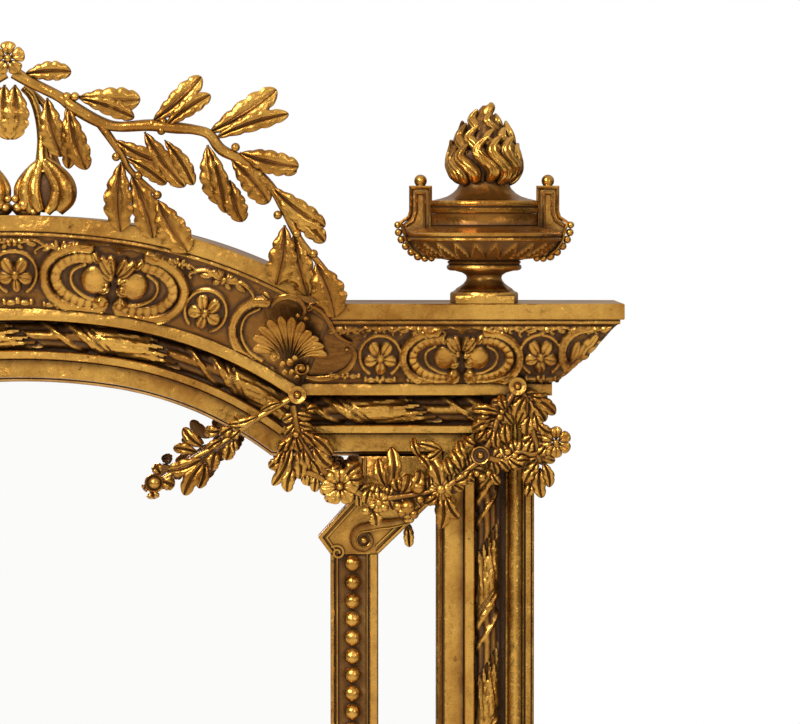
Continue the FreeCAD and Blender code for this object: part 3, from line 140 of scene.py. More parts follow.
class Form:
    """One piece: points in millimetres, faces, and how sheltered each point lies, which darkens the
    gilding as wax and as painted shade.
    """

    def __init__(self):
        self.points, self.faces, self.shelter, self.count = [], [], [], 0

    def add(self, points, faces, shelter=0.0):
        points = np.asarray(points, float).reshape(-1, 3)
        self.points.append(points)
        self.shelter.append(np.broadcast_to(np.asarray(shelter, float).ravel()
                                            if np.ndim(shelter) else shelter, (len(points),)))
        self.faces += [[i + self.count for i in face] for face in faces]
        self.count += len(points)

    def include(self, other):
        self.add(np.concatenate(other.points), other.faces, np.concatenate(other.shelter))

    def mirrored(self):
        other = Form()
        other.add(np.concatenate(self.points) * (-1, 1, 1),
                  [face[::-1] for face in self.faces], np.concatenate(self.shelter))
        return other


def doubled(form):
    """A form and its mirror image as one."""
    made = Form()
    made.include(form)
    made.include(form.mirrored())
    return made


def piece(form, name, finish, body="frame", nodes=None, angle=32):
    """Make a form a mesh that rides on a body and stands for its CAD nodes."""
    mesh = bpy.data.meshes.new(name)
    mesh.from_pydata((np.concatenate(form.points) * MM).tolist(), [], form.faces)
    # Each point's shelter goes with the mesh; the gilding darkens by it, as wax and as painted
    # shade.
    kept = mesh.attributes.new("shelter", "FLOAT", "POINT")
    kept.data.foreach_set("value", np.concatenate(form.shelter).astype(np.float32))
    work = bmesh.new()
    work.from_mesh(mesh)
    bmesh.ops.remove_doubles(work, verts=work.verts, dist=0.00001)
    bmesh.ops.recalc_face_normals(work, faces=work.faces)
    work.to_mesh(mesh)
    work.free()
    mesh.shade_smooth()
    mesh.set_sharp_from_angle(angle=math.radians(angle))
    mesh.materials.append(finish)
    made = bpy.data.objects.new(name, mesh)
    bpy.context.scene.collection.objects.link(made)
    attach(made, body)
    stands_for = [name] if nodes is None else nodes
    if stands_for:
        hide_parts(*stands_for)
    return made


def both(form, stem, finish, angle=32):
    """Make the right-hand piece and its mirror image."""
    piece(form, f"right_{stem}_gilt", finish, nodes=[f"right_{stem}"], angle=angle)
    piece(form.mirrored(), f"left_{stem}_gilt", finish, nodes=[f"left_{stem}"], angle=angle)


def rings(form, grid, shelter=0.0, closed=True, capped=True):
    """Add a grid of rings: rows of points, each row joined to the next."""
    grid = np.asarray(grid, float)
    rows, cols = grid.shape[:2]
    faces = []
    span = cols if closed else cols - 1
    for i in range(rows - 1):
        a, b = i * cols, (i + 1) * cols
        faces += [(a + j, a + (j + 1) % cols, b + (j + 1) % cols, b + j) for j in range(span)]
    if capped:
        faces += [tuple(range(cols))[::-1], tuple(range((rows - 1) * cols, rows * cols))]
    shade = np.broadcast_to(shelter, (rows, cols)).reshape(-1) if np.ndim(shelter) else shelter
    form.add(grid.reshape(-1, 3), faces, shade)


def curve(points, steps=8):
    """A smooth line through points, as an array."""
    points = np.asarray(points, float)
    if len(points) < 3:
        return np.array([points[0] + (points[-1] - points[0]) * k / steps
                         for k in range(steps + 1)])
    padded = np.vstack([2 * points[0] - points[1], points, 2 * points[-1] - points[-2]])
    made = []
    for a, b, c, d in zip(padded, padded[1:], padded[2:], padded[3:]):
        for k in range(steps):
            t = k / steps
            made.append(0.5 * (2 * b + (c - a) * t + (2 * a - 5 * b + 4 * c - d) * t * t
                               + (3 * b - a - 3 * c + d) * t ** 3))
    return np.array(made + [points[-1]])


def upright(depth):
    """Carries across, up and out to a plane that faces the viewer."""
    return lambda u, v, w: np.stack(np.broadcast_arrays(u, -w + depth, v), -1)


LEAF_SIDE = np.array([-1, -0.93, -0.74, -0.5, -0.28, -0.14, -0.06, 0,
                      0.06, 0.14, 0.28, 0.5, 0.74, 0.93, 1])


def leaf(form, base, tip, width, thick=5.0, place=None, out=0.0, bend=0.0, lobes=5,
         notch=0.2, belly=0.58, lift=3.0, droop=2.0, groove=0.3, rows=22, across=LEAF_SIDE):
    """A carved leaf from base to tip: scalloped, puffed between its veins, closed behind."""
    base, tip = np.array(base, float), np.array(tip, float)
    along = tip - base
    size = np.linalg.norm(along)
    side = np.array([-along[1], along[0]]) / size
    t = (1 - np.cos(np.linspace(0.0, math.pi, rows + 1)[1:-1])) / 2
    a, b = 0.9 * belly / (1 - belly) * 0.55, 0.55
    peak = (a / (a + b)) ** a * (b / (a + b)) ** b
    half = width / 2 * t ** a * (1 - t) ** b / peak
    cusp = (1 - np.abs(np.sin(math.pi * lobes * t))) ** 1.6
    half = np.maximum(half * (1 - notch * cusp * (t < 0.93)), width * 0.05)
    s = across[None, :]
    ends_in = np.abs(s) ** 1.2
    mid = base + np.outer(t, along) + np.outer(bend * size * np.sin(math.pi * t), side)
    rise = out + lift * np.sin(math.pi * t ** 0.9) - droop * t ** 3
    puff = np.abs(np.sin(math.pi * (lobes * t[:, None] - 0.35 * (1 - np.abs(s)))))
    front = thick * (0.10 + 0.62 * (1 - np.abs(s) ** 3) * (0.55 + 0.45 * np.abs(s))
                     + 0.42 * (puff ** 0.7 - 0.45) * ends_in * notch * 4)
    front -= thick * groove * np.exp(-((np.abs(s) - 0.11) / 0.07) ** 2)
    front += thick * 0.10 * np.exp(-(s / 0.05) ** 2)
    front = front * (0.35 + 0.65 * np.sin(math.pi * t ** 0.75) ** 0.5)[:, None] + rise[:, None]
    back = (rise[:, None] - thick * 0.3 * (1 - s ** 2))[:, 1:-1][:, ::-1]
    flat = mid[:, None, :] + (half[:, None] * s)[..., None] * side
    flat = np.concatenate([flat, flat[:, 1:-1][:, ::-1]], 1)
    high = np.concatenate([front, back], 1)
    # Painted shade: darker along the groove by the midrib, between the puffs and towards the base;
    # the back is dark too.
    valley = 0.62 * np.exp(-((np.abs(s) - 0.10) / 0.07) ** 2) + 0.55 * (1 - puff) ** 2 * ends_in
    shade = np.concatenate([valley * min(groove * 3, 1) + 0.30 * (1 - t[:, None]) ** 2 + 0 * front,
                            np.full(back.shape, 0.8)], 1)
    ring = place(flat[..., 0], flat[..., 1], high)
    count = ring.shape[1]
    ends = [place(base[0], base[1], out), place(tip[0], tip[1], out - droop + thick * 0.1)]
    faces = []
    for i in range(len(t) - 1):
        p, q = i * count, (i + 1) * count
        faces += [(p + j, p + (j + 1) % count, q + (j + 1) % count, q + j) for j in range(count)]
    total = len(t) * count
    faces += [(total, (j + 1) % count, j) for j in range(count)]
    last = total - count
    faces += [(total + 1, last + j, last + (j + 1) % count) for j in range(count)]
    form.add(np.vstack([ring.reshape(-1, 3), *[np.reshape(e, (1, 3)) for e in ends]]), faces,
             np.append(shade.reshape(-1), [0.6, 0.1]))


def ball(form, centre, radius, place, out=0.0, squash=1.0, rows=7, cols=12, shade=0.0):
    """A berry, boss or bead whose middle lies a little out of the plane."""
    lat = np.linspace(-math.pi / 2, math.pi / 2, rows + 2)
    lon = np.linspace(0, 2 * math.pi, cols, endpoint=False)
    u = centre[0] + radius * np.cos(lat)[:, None] * np.cos(lon)
    v = centre[1] + radius * np.cos(lat)[:, None] * np.sin(lon)
    w = out + radius * squash * np.sin(lat)[:, None] + 0 * lon
    # Painted shade: the ball darkens from its front crest to its sides and back.
    low = shade + 0.9 * np.clip(0.9 - np.sin(lat) * 1.6, 0, 1)[:, None] + 0 * lon
    rings(form, place(u, v, w), np.clip(low, 0, 1))


def tube(form, points, radii, place, out=0.0, sides=8, steps=6, flat=1.0, shade=0.25):
    """A round stem along points (across, up[, out]), of changing radius."""
    points = np.asarray(points, float)
    if points.shape[1] == 2:
        points = np.column_stack([points, np.full(len(points), out)])
    radii = np.broadcast_to(np.asarray(radii, float), (len(points),))
    line = curve(np.column_stack([points, radii]), steps)
    path, size = line[:, :3], line[:, 3]
    ahead = np.gradient(path, axis=0)
    ahead /= np.linalg.norm(ahead, axis=1)[:, None]
    side = np.cross(ahead, (0, 0, 1.0))
    side /= np.maximum(np.linalg.norm(side, axis=1), 1e-6)[:, None]
    top = np.cross(side, ahead)
    turn = np.linspace(0, 2 * math.pi, sides, endpoint=False)
    grid = (path[:, None] + size[:, None, None]
            * (np.cos(turn)[None, :, None] * side[:, None]
               + flat * np.sin(turn)[None, :, None] * top[:, None]))
    # Painted shade: the stem darkens from its front to its sides and back.
    low = shade + np.clip(0.35 - 0.55 * np.sin(turn), 0, 1)[None, :] + 0 * size[:, None]
    rings(form, place(grid[..., 0], grid[..., 1], grid[..., 2]), np.clip(low, 0, 1))


def flower(form, centre, radius, place, out=0.0, petals=5, turn=90.0, thick=4.0, boss=0.24,
           cup=2.5):
    """A flower of rounded petals round a boss."""
    for k in range(petals):
        angle = math.radians(turn + 360 * k / petals)
        way = np.array([math.cos(angle), math.sin(angle)])
        leaf(form, np.array(centre) + way * radius * 0.1, np.array(centre) + way * radius,
             radius * 4.6 / petals, thick, place, out=out, lobes=2, notch=0.08,
             belly=0.7, lift=cup, droop=-cup * 0.4, groove=0.10, rows=14)
    ball(form, centre, radius * boss, place, out=out + thick * 0.9, rows=5, cols=10)


# ---------------------------------------------------------------- mouldings

SIGHT_X, SIGHT_Z, BASE_Z, WALL = 527.0, 1602.0, 150.0, 50.0
CROWN_Z, CROWN_RADIUS, CROWN_ANGLE = 947.0, 750.0, math.radians(8.6)
SHOULDER_X, SHOULDER_Z, SHOULDER_RADIUS = 45.8, 1249.6, 444.0
MITRE_X, MITRE_LEAN = 315.8, 0.443
GLASS, LIP = 5.0, 12.0
CAP, FRIEZE_WING, FRIEZE_ARCH = 95.5, 173.0, 187.5
PROJECTION = (71.0, 149.0, 152.0, 157.0)
RAIL_WIDTH, STILE_WIDTH = 80.0, 125.0
# The stile's outer edge, the cap's side, and where the cornice's return meets depth zero.
OUTER_X, CAP_SIDE, RETURN_X = 652.0, 673.0, 602.0
# The cornice is hollow behind this depth and below this height.
HOLLOW_Y, LEDGE_Z = -50.0, 1780.0
# The plinth blocks' face, before their steps stand out from it.
PLINTH_Y = -50.0
CROWN_SHARE = 0.28


def mitre_x(up):
    """Where the arch's mitre line lies at a height."""
    return MITRE_X + MITRE_LEAN * (up - SIGHT_Z)


def half_round(start, end, depth, crest, steps=10, shade=(0.45, 0.0)):
    """Profile points over a torus."""
    turn = np.linspace(0, math.pi, steps + 1)
    middle, radius = (start + end) / 2, (end - start) / 2
    return [(middle - radius * math.cos(a), depth - (depth - crest) * math.sin(a),
             shade[0] + (shade[1] - shade[0]) * math.sin(a) ** 0.6) for a in turn]


# A profile point's last value is its shelter, which darkens the gilding there as wax and as painted
# shade.
SIGHT_MEMBERS = [(0, GLASS, 0.9), (0, -11, 0.6), (0.8, -13, 0.4), (2.2, -16, 0.0),
                 (3.4, -17.6, 0.0), (4.4, -17.4, 0.3)]
STILE_PROFILE = SIGHT_MEMBERS + [
    (6.2, -19.4, 0.35), (7.4, -20.4, 0.3), (8.0, -18.6, 1.0), (9.2, -18.6, 1.0),
    (9.8, -24.6, 0.5), (11.2, -27, 0.0), (12.6, -27.4, 0.0), (34.4, -27, 0.25),
    (35.0, -25, 1.0), (36.0, -25, 1.0), (36.3, -41, 0.5), (37.2, -43, 0.0),
    (47.6, -43, 0.0), (48.8, -41.6, 0.1), (49.2, -38, 0.5), (49.4, -26, 1.0),
    (81, -26, 1.0), (81, -20, 1.0), (88, -20, 1.0), (88.2, -37, 0.8), (88.8, -40.2, 0.2),
    (90.8, -41.4, 0.1), (91.6, -40.2, 0.8)] + half_round(92.4, 109, -41, -50) + [
    (109.6, -40, 0.9), (110.4, -41.6, 0.0), (111.4, -41, 0.1), (112, -36.5, 1.0),
    (113.8, -36.2, 1.0), (114.4, -38.4, 0.1), (120.6, -37.6, 0.2), (121.4, -35.2, 0.8),
    (122.4, -36.4, 0.1), (124.2, -35.6, 0.0), (125, -34.4, 0.1), (125, WALL, 0.5),
    (LIP, WALL, 0.8), (LIP, GLASS, 0.9)]
RAIL_PROFILE = SIGHT_MEMBERS + [
    (5.0, -17, 0.9), (5.6, -24.6, 0.5), (6.8, -27, 0.0), (28.2, -27, 0.2), (28.8, -25, 1.0),
    (29.8, -25, 1.0), (30.2, -41, 0.5), (31.2, -43, 0.0), (39.4, -43, 0.0),
    (40.6, -41.6, 0.1), (41, -36, 0.6), (41.2, -26, 1.0), (80, -26, 1.0), (80, -44, 0.9),
    (80, -69, 0.5), (80.8, -70.6, 0.0), (82, -71, 0.0), (93.8, -71, 0.0), (94.8, -70.6, 0.0),
    (CAP, -69, 0.3), (CAP, WALL, 0.5), (LIP, WALL, 0.8), (LIP, GLASS, 0.9)]


def crown_point(offset, depth, angle):
    """A point of the arch's crown, an offset out from the sight edge."""
    size = CROWN_RADIUS + offset
    return size * math.sin(angle), depth, CROWN_Z + size * math.cos(angle)


def shoulder_end(offset):
    """The angle at which a line outside the arch's sight edge meets the mitre."""
    lean = math.atan(MITRE_LEAN)
    gap = MITRE_X - SHOULDER_X + MITRE_LEAN * (SHOULDER_Z - SIGHT_Z)
    return lean + math.asin(gap / ((SHOULDER_RADIUS + offset) * math.hypot(1, MITRE_LEAN)))


def arch_point(offset, depth, share):
    """A point of the arch; share runs from 0 at the middle to 1 at the right mitre."""
    side, share = (-1, -share) if share < 0 else (1, share)
    if share < CROWN_SHARE:
        across, depth, up = crown_point(offset, depth, CROWN_ANGLE * share / CROWN_SHARE)
    else:
        end = shoulder_end(offset)
        angle = CROWN_ANGLE + (end - CROWN_ANGLE) * (share - CROWN_SHARE) / (1 - CROWN_SHARE)
        size = SHOULDER_RADIUS + offset
        across = SHOULDER_X + size * math.sin(angle)
        up = SHOULDER_Z + size * math.cos(angle)
    return side * across, depth, up


def arch_swept(profile, steps=110):
    """A moulding round the whole arch, mitred at both ends."""
    made = Form()
    shares = np.linspace(-1, 1, steps + 1)
    grid = [[arch_point(o, d, s) for o, d, _ in profile] for s in shares]
    rings(made, grid, np.array([shade for _, _, shade in profile])[None, :])
    return made


def build_stiles(gold):
    """The two uprights."""
    made = Form()
    low = [(SIGHT_X + o, d, BASE_Z) for o, d, _ in STILE_PROFILE]
    slope = RAIL_WIDTH / STILE_WIDTH
    levels = np.linspace(0, 1, 9)
    grid = [[(x, y, z + (SIGHT_Z + (x - SIGHT_X) * slope - z) * t) for x, y, z in low]
            for t in levels]
    rings(made, grid, np.array([s for *_, s in STILE_PROFILE])[None, :])
    both(made, "stile", gold)


def build_wing_rails(gold):
    """The level rails to either side of the arch."""
    made = Form()
    ends = []
    for o, d, _ in RAIL_PROFILE:
        up = SIGHT_Z + o
        far = CAP_SIDE if o >= RAIL_WIDTH else SIGHT_X + o * STILE_WIDTH / RAIL_WIDTH
        ends.append((mitre_x(up), far, d, up))
    grid = [[(a + (b - a) * t, d, up) for a, b, d, up in ends] for t in np.linspace(0, 1, 7)]
    rings(made, grid, np.array([s for *_, s in RAIL_PROFILE])[None, :])
    both(made, "wing_rail", gold)


def build_arch_rail(gold):
    """The arched rail between its two mitres."""
    piece(arch_swept(RAIL_PROFILE), "arch_rail_gilt", gold, nodes=["arch_rail"])


def cornice_profile(frieze):
    """The cornice from its foot to its top, as height over the sight edge and depth."""
    foot, lean, thin, front = PROJECTION
    return [(CAP, -foot + 1, 0.7), (frieze - 1.2, -lean + 0.6, 0.8), (frieze - 0.4, -thin + 1, 0.5),
            (frieze + 0.6, -thin, 0.0), (frieze + 4, -thin, 0.1), (frieze + 5, -thin + 0.6, 0.9),
            (frieze + 5.2, -front + 1, 0.6), (frieze + 6.4, -front, 0.0),
            (frieze + 23.6, -front, 0.0), (frieze + 24.8, -front + 0.8, 0.0),
            (frieze + 25, -front + 2, 0.1)]


def frieze_depth(rise, frieze):
    """Depth of a sloping frieze at a height over the sight edge."""
    foot, lean = PROJECTION[:2]
    return -foot - (rise - CAP) * (lean - foot) / (frieze - CAP)


def build_cornices(gold):
    """The sloping friezes and their fillets, over the wings and over the arch."""
    made = Form()
    grid, shades = [], []
    for o, d, shade in cornice_profile(FRIEZE_WING):
        up = SIGHT_Z + o
        inner = mitre_x(up)
        corner = RETURN_X - d
        back = HOLLOW_Y if up < LEDGE_Z else WALL - 0.1
        grid.append([(inner, back, up)] + [(inner + (corner - inner) * t, d, up)
                                           for t in np.linspace(0, 1, 9)]
                    + [(corner, WALL, up), (OUTER_X, WALL, up), (OUTER_X, back, up)])
        shades.append([0.9] + [shade] * 10 + [0.9, 0.9])
    rings(made, grid, np.array(shades))
    both(made, "cornice", gold)
    arch = cornice_profile(FRIEZE_ARCH)
    arch += [(FRIEZE_ARCH + 25, WALL, 0.5), (FRIEZE_ARCH + 5, WALL, 0.9),
             (FRIEZE_ARCH + 5, HOLLOW_Y, 0.9), (CAP, HOLLOW_Y, 0.9)]
    piece(arch_swept(arch), "arch_cornice_gilt", gold, nodes=["arch_cornice"])


# ---------------------------------------------------------------- materials

def node(tree, kind, settings=None, **links):
    """Add a node with its settings; a link's value is a socket or a constant."""
    made = tree.nodes.new(kind)
    for name, what in (settings or {}).items():
        setattr(made, name, what)
    for name, what in links.items():
        socket = made.inputs[int(name[1:])] if name[0] == "_" and name[1:].isdigit() \
            else made.inputs[name.replace("_", " ")]
        if isinstance(what, bpy.types.NodeSocket):
            tree.links.new(what, socket)
        else:
            socket.default_value = what
    return made


def blank(name):
    """A material with an empty node tree and its output."""
    made = bpy.data.materials.new(name)
    made.use_nodes = True
    made.node_tree.nodes.clear()
    return made, made.node_tree


NOISE, MATH, RANGE, MIX, BUMP = (
    "ShaderNodeTexNoise", "ShaderNodeMath", "ShaderNodeMapRange", "ShaderNodeMix",
    "ShaderNodeBump")
COORDINATES, SHADER, OUTPUT = (
    "ShaderNodeTexCoord", "ShaderNodeBsdfPrincipled", "ShaderNodeOutputMaterial")
ADD, COLOUR = {"operation": "MULTIPLY_ADD"}, {"data_type": "RGBA"}
GILDING = "Water_gilding_over_bole"


def gilding():
    """Gold leaf on gesso and red bole: warm metal on the crests with a painted highlight, brown wax
    and painted shade in the hollows.
    """
    made, tree = blank(GILDING)
    tone = colours()
    place = node(tree, COORDINATES).outputs["Object"]
    shelter = node(tree, "ShaderNodeAttribute", {"attribute_name": "shelter"}).outputs["Fac"]
    # Thinner leaf in clouds of 110 mm, specks of 7 mm, dust of 2.4 mm, drawn coarser than
    # real dust so that it shows, chips of 19 mm, and hand-laid gesso in waves of 33 mm.
    cloud, speck, grit, chip, hand = (
        node(tree, NOISE, Vector=place, Scale=scale, Detail=detail, Roughness=rough).outputs["Fac"]
        for scale, detail, rough in ((9.0, 6.0, 0.62), (140.0, 5.0, 0.7), (420.0, 3.0, 0.6),
                                     (52.0, 8.0, 0.72), (30.0, 3.0, 0.5)))
    # Wax gathers in hollows narrower than about 16 mm; the occlusion darkens them as wax and as
    # painted shade.
    hollow = node(tree, "ShaderNodeAmbientOcclusion", {"samples": 6, "only_local": False},
                  Distance=0.016).outputs["AO"]
    # Painted shade: occlusion and shelter lay the patina colour, with specks of dust, into hollows
    # and sheltered places.
    closed = node(tree, RANGE, _0=hollow, _1=0.92, _2=0.30).outputs[0]
    soft = node(tree, MATH, ADD, _0=speck, _1=0.5, _2=shelter).outputs[0]
    filled_and_shaded = node(tree, MATH, ADD, _0=closed, _1=0.95, _2=soft).outputs[0]
    patina_and_shade = node(tree, RANGE, _0=filled_and_shaded, _1=0.48, _2=1.30).outputs[0]
    # Painted highlight: the crests get the bright leaf and sheltered places the darker rubbed leaf,
    # broken by random clouds of wear.
    rise = node(tree, MATH, ADD, _0=shelter, _1=-0.35, _2=cloud).outputs[0]
    fresh_and_highlight = node(tree, RANGE, _0=rise, _1=0.36, _2=0.56).outputs[0]
    leaf_tone = node(tree, MIX, COLOUR, _0=fresh_and_highlight, _6=tone.rubbed_and_shaded, _7=tone.leaf).outputs[2]
    worn = node(tree, RANGE, _0=chip, _1=0.62, _2=0.69, _4=0.8).outputs[0]
    bare = node(tree, MIX, COLOUR, _0=worn, _6=leaf_tone, _7=tone.bole).outputs[2]
    deep = node(tree, RANGE, _0=grit, _1=0.54, _2=0.8).outputs[0]
    dusty = node(tree, MIX, COLOUR, _0=deep, _6=tone.patina_and_shade, _7=tone.dust).outputs[2]
    base = node(tree, MIX, COLOUR, _0=patina_and_shade, _6=bare, _7=dusty).outputs[2]
    metal = node(tree, RANGE, _0=patina_and_shade, _1=0.0, _2=1.0, _3=1.0, _4=0.5).outputs[0]
    dull = node(tree, RANGE, _0=patina_and_shade, _1=0.0, _2=1.0, _3=0.19, _4=0.46).outputs[0]
    rough = node(tree, MATH, ADD, _0=speck, _1=0.14, _2=dull).outputs[0]
    fine = node(tree, MATH, ADD, _0=grit, _1=0.35, _2=speck).outputs[0]
    wavy = node(tree, BUMP, Strength=0.9, Distance=0.005, Height=hand).outputs[0]
    bump = node(tree, BUMP, Strength=0.5, Distance=0.0009, Height=fine, Normal=wavy).outputs[0]
    shader = node(tree, SHADER, Base_Color=base, Metallic=metal, Roughness=rough, Normal=bump)
    node(tree, OUTPUT, Surface=shader.outputs[0])
    return made


def silvering():
    """Old mercury-silvered plate glass: a near perfect mirror, clouded in 70 mm patches."""
    made, tree = blank("Silvered_plate_glass")
    place = node(tree, COORDINATES).outputs["Object"]
    cloud = node(tree, NOISE, Vector=place, Scale=14.0, Detail=7.0, Roughness=0.7).outputs["Fac"]
    rough = node(tree, RANGE, _0=cloud, _1=0.3, _2=0.8, _4=0.03).outputs[0]
    aged = node(tree, RANGE, _0=cloud, _1=0.74, _2=0.9).outputs[0]
    shade = node(tree, MIX, COLOUR, _0=aged, _6=colours().silver, _7=linear("#E9E6DF")).outputs[2]
    shader = node(tree, SHADER, Base_Color=shade, Metallic=1.0, Roughness=rough)
    node(tree, OUTPUT, Surface=shader.outputs[0])
    return made


def pine():
    """Bare sawn pine, darkened by age: rings 17 mm apart and half a metre long, and dust."""
    made, tree = blank("Bare_sawn_pine")
    tone = colours()
    place = node(tree, COORDINATES).outputs["Object"]
    along = node(tree, "ShaderNodeMapping", Vector=place, Scale=(60.0, 60.0, 2.2)).outputs[0]
    grain = node(tree, NOISE, Vector=along, Scale=1.0, Detail=6.0, Roughness=0.6,
                 Distortion=0.6).outputs["Fac"]
    cloud = node(tree, NOISE, Vector=place, Scale=6.0, Detail=4.0).outputs["Fac"]
    late = node(tree, RANGE, _0=grain, _1=0.4, _2=0.66).outputs[0]
    wood = node(tree, MIX, COLOUR, _0=late, _6=tone.pine, _7=tone.pine_late).outputs[2]
    dusty = node(tree, RANGE, _0=cloud, _1=0.5, _2=0.8).outputs[0]
    base = node(tree, MIX, COLOUR, _0=dusty, _6=wood, _7=linear("#6E5638")).outputs[2]
    bump = node(tree, BUMP, Strength=0.4, Distance=0.0008, Height=grain).outputs[0]
    shader = node(tree, SHADER, Base_Color=base, Roughness=0.82, Normal=bump)
    node(tree, OUTPUT, Surface=shader.outputs[0])
    return made


def iron():
    """Forged iron with a thin skin of rust in 11 mm patches, dark and uneven."""
    made, tree = blank("Forged_iron")
    tone = colours()
    place = node(tree, COORDINATES).outputs["Object"]
    cloud = node(tree, NOISE, Vector=place, Scale=90.0, Detail=6.0, Roughness=0.65).outputs["Fac"]
    rusty = node(tree, RANGE, _0=cloud, _1=0.48, _2=0.68).outputs[0]
    base = node(tree, MIX, COLOUR, _0=rusty, _6=tone.iron, _7=tone.rust).outputs[2]
    metal = node(tree, RANGE, _0=rusty, _1=1.0, _2=0.0).outputs[0]
    rough = node(tree, RANGE, _0=cloud, _1=0.3, _2=0.7, _3=0.42, _4=0.75).outputs[0]
    bump = node(tree, BUMP, Strength=0.5, Distance=0.0006, Height=cloud).outputs[0]
    shader = node(tree, SHADER, Base_Color=base, Metallic=metal, Roughness=rough, Normal=bump)
    node(tree, OUTPUT, Surface=shader.outputs[0])
    return made


def steel():
    """Turned screw steel, dulled grey in 3 mm flecks."""
    made, tree = blank("Turned_screw_steel")
    place = node(tree, COORDINATES).outputs["Object"]
    cloud = node(tree, NOISE, Vector=place, Scale=300.0, Detail=4.0).outputs["Fac"]
    dulled = node(tree, RANGE, _0=cloud, _1=0.4, _2=0.7).outputs[0]
    base = node(tree, MIX, COLOUR, _0=dulled, _6=colours().steel, _7=linear("#5F5A52")).outputs[2]
    rough = node(tree, RANGE, _0=cloud, _1=0.3, _2=0.7, _3=0.3, _4=0.5).outputs[0]
    shader = node(tree, SHADER, Base_Color=base, Metallic=1.0, Roughness=rough)
    node(tree, OUTPUT, Surface=shader.outputs[0])
    return made


def gold():
    """The gilding, made once and then used again."""
    return bpy.data.materials.get(GILDING) or gilding()


# ---------------------------------------------------------------- rods

def ribbon_height(along, turn, pitch):
    """Height of a reeded rod wound with a leafy ribbon. turn runs from -1 to 1 round it."""
    slope = 0.17 * pitch
    phase = np.mod(along - slope * turn, pitch) / pitch
    reed = -2.8 + 3.2 * np.abs(np.cos(math.pi * 1.5 * turn)) ** 0.7
    height = reed.copy() if isinstance(reed, np.ndarray) else reed

    def zone(low, high, soft=0.012):
        return np.clip((phase - low) / soft, 0, 1) * np.clip((high - phase) / soft, 0, 1)

    def lay(share, level):
        nonlocal height
        height = height * (1 - share) + level * share

    lay(zone(0.19, 0.255), 2.2 + 0 * turn)
    opening = zone(0.255, 0.35)
    lay(opening, reed - 0.6)
    t = (phase - 0.35) / 0.10
    curl = 2.9 - 3.2 * (t - 0.5) ** 2 + 0.9 * np.cos(2 * math.pi * (turn * 2.2 + t))
    lay(zone(0.35, 0.445), curl)
    lay(zone(0.445, 0.50), 2.4 - 1.8 * np.exp(-((phase - 0.472) / 0.006) ** 2))
    t = np.clip((phase - 0.50) / 0.48, 0, 1)
    finger = (turn * (1.25 + 0.4 * t) + 0.35 * t) * 2.0
    rib = np.abs(np.cos(math.pi * finger)) ** 0.75
    second = np.clip((t - 0.42) / 0.03, 0, 1)
    level = np.where(second > 0, 0.2 + 2.0 * rib * (1 - 0.5 * (t - 0.42)),
                     1.2 + 2.3 * rib * (1 - 0.6 * np.clip(t / 0.42, 0, 1) ** 2))
    vein = 0.45 * np.cos(2 * math.pi * finger * 2.0 + 9 * t)
    level = level + vein * (rib > 0.35)
    edge = 0.70 + 0.3 * rib
    lay(zone(0.50, 0.985, 0.01) * (t < edge), level)
    lay(zone(0.50, 0.99, 0.01) * (t >= edge), -2.6 + 0 * turn)
    return height


def rod_grid(place, radius, stretch, pitch, start=0.0, cols=26, step=2.2):
    """The rod's rings; place carries (along, offset across, depth out)."""
    rows = max(int(stretch / step), 2)
    along = np.linspace(0, stretch, rows + 1)[:, None]
    turn = np.linspace(-1, 1, cols + 1)[None, :]
    height = ribbon_height(along + start, turn, pitch)
    angle = turn * math.pi / 2
    size = radius - 2.4 + np.clip(height * 1.2, -3.6, 3.6)
    across, out = size * np.sin(angle), size * np.cos(angle)
    front = place(along + 0 * turn, across, out)
    # Painted shade: the low parts of the rod are darker and the raised ribbon lighter.
    shade = np.clip(0.42 - height * 0.26, 0, 1)
    made = Form()
    rings(made, front, shade)
    return made


def build_rods(gold_leaf):
    """The reeded rods in all six troughs, with their ribbons."""
    floor, pitch, arch_pitch = -26.0, sizes().stile_pitch / MM, sizes().arch_pitch / MM
    stile = rod_grid(lambda s, a, o: np.stack([592 + a, floor - o, BASE_Z + s], -1),
                     15, 1452, pitch, start=80)
    both(stile, "stile_ribbon_rod", gold_leaf, angle=50)
    wing = rod_grid(lambda s, a, o: np.stack([355 + s, floor - o, 1662.5 - a], -1),
                    18.5, 232, arch_pitch, start=20)
    both(wing, "wing_ribbon_rod", gold_leaf, angle=50)
    bottom = rod_grid(lambda s, a, o: np.stack([s - 527, floor - o, 89.5 - a], -1),
                      18.5, 1054, arch_pitch)
    piece(bottom, "bottom_ribbon_rod_gilt", gold_leaf, nodes=["bottom_ribbon_rod"], angle=50)
    middle = np.array([arch_point(60.5, floor, s) for s in np.linspace(-0.985, 0.985, 600)])
    steps = np.linalg.norm(np.diff(middle, axis=0), axis=1)
    gone = np.concatenate([[0], np.cumsum(steps)])
    total = gone[-1]
    tangent = np.gradient(middle, axis=0)
    tangent /= np.linalg.norm(tangent, axis=1)[:, None]

    def place(s, a, o):
        x = np.interp(s, gone, middle[:, 0])
        z = np.interp(s, gone, middle[:, 2])
        tx, tz = np.interp(s, gone, tangent[:, 0]), np.interp(s, gone, tangent[:, 2])
        return np.stack([x + a * tz, floor - o, z - a * tx], -1)
    arch = rod_grid(place, 18.5, total, arch_pitch)
    piece(arch, "arch_ribbon_rod_gilt", gold_leaf, nodes=["arch_ribbon_rod"], angle=50)


# ---------------------------------------------------------------- crest

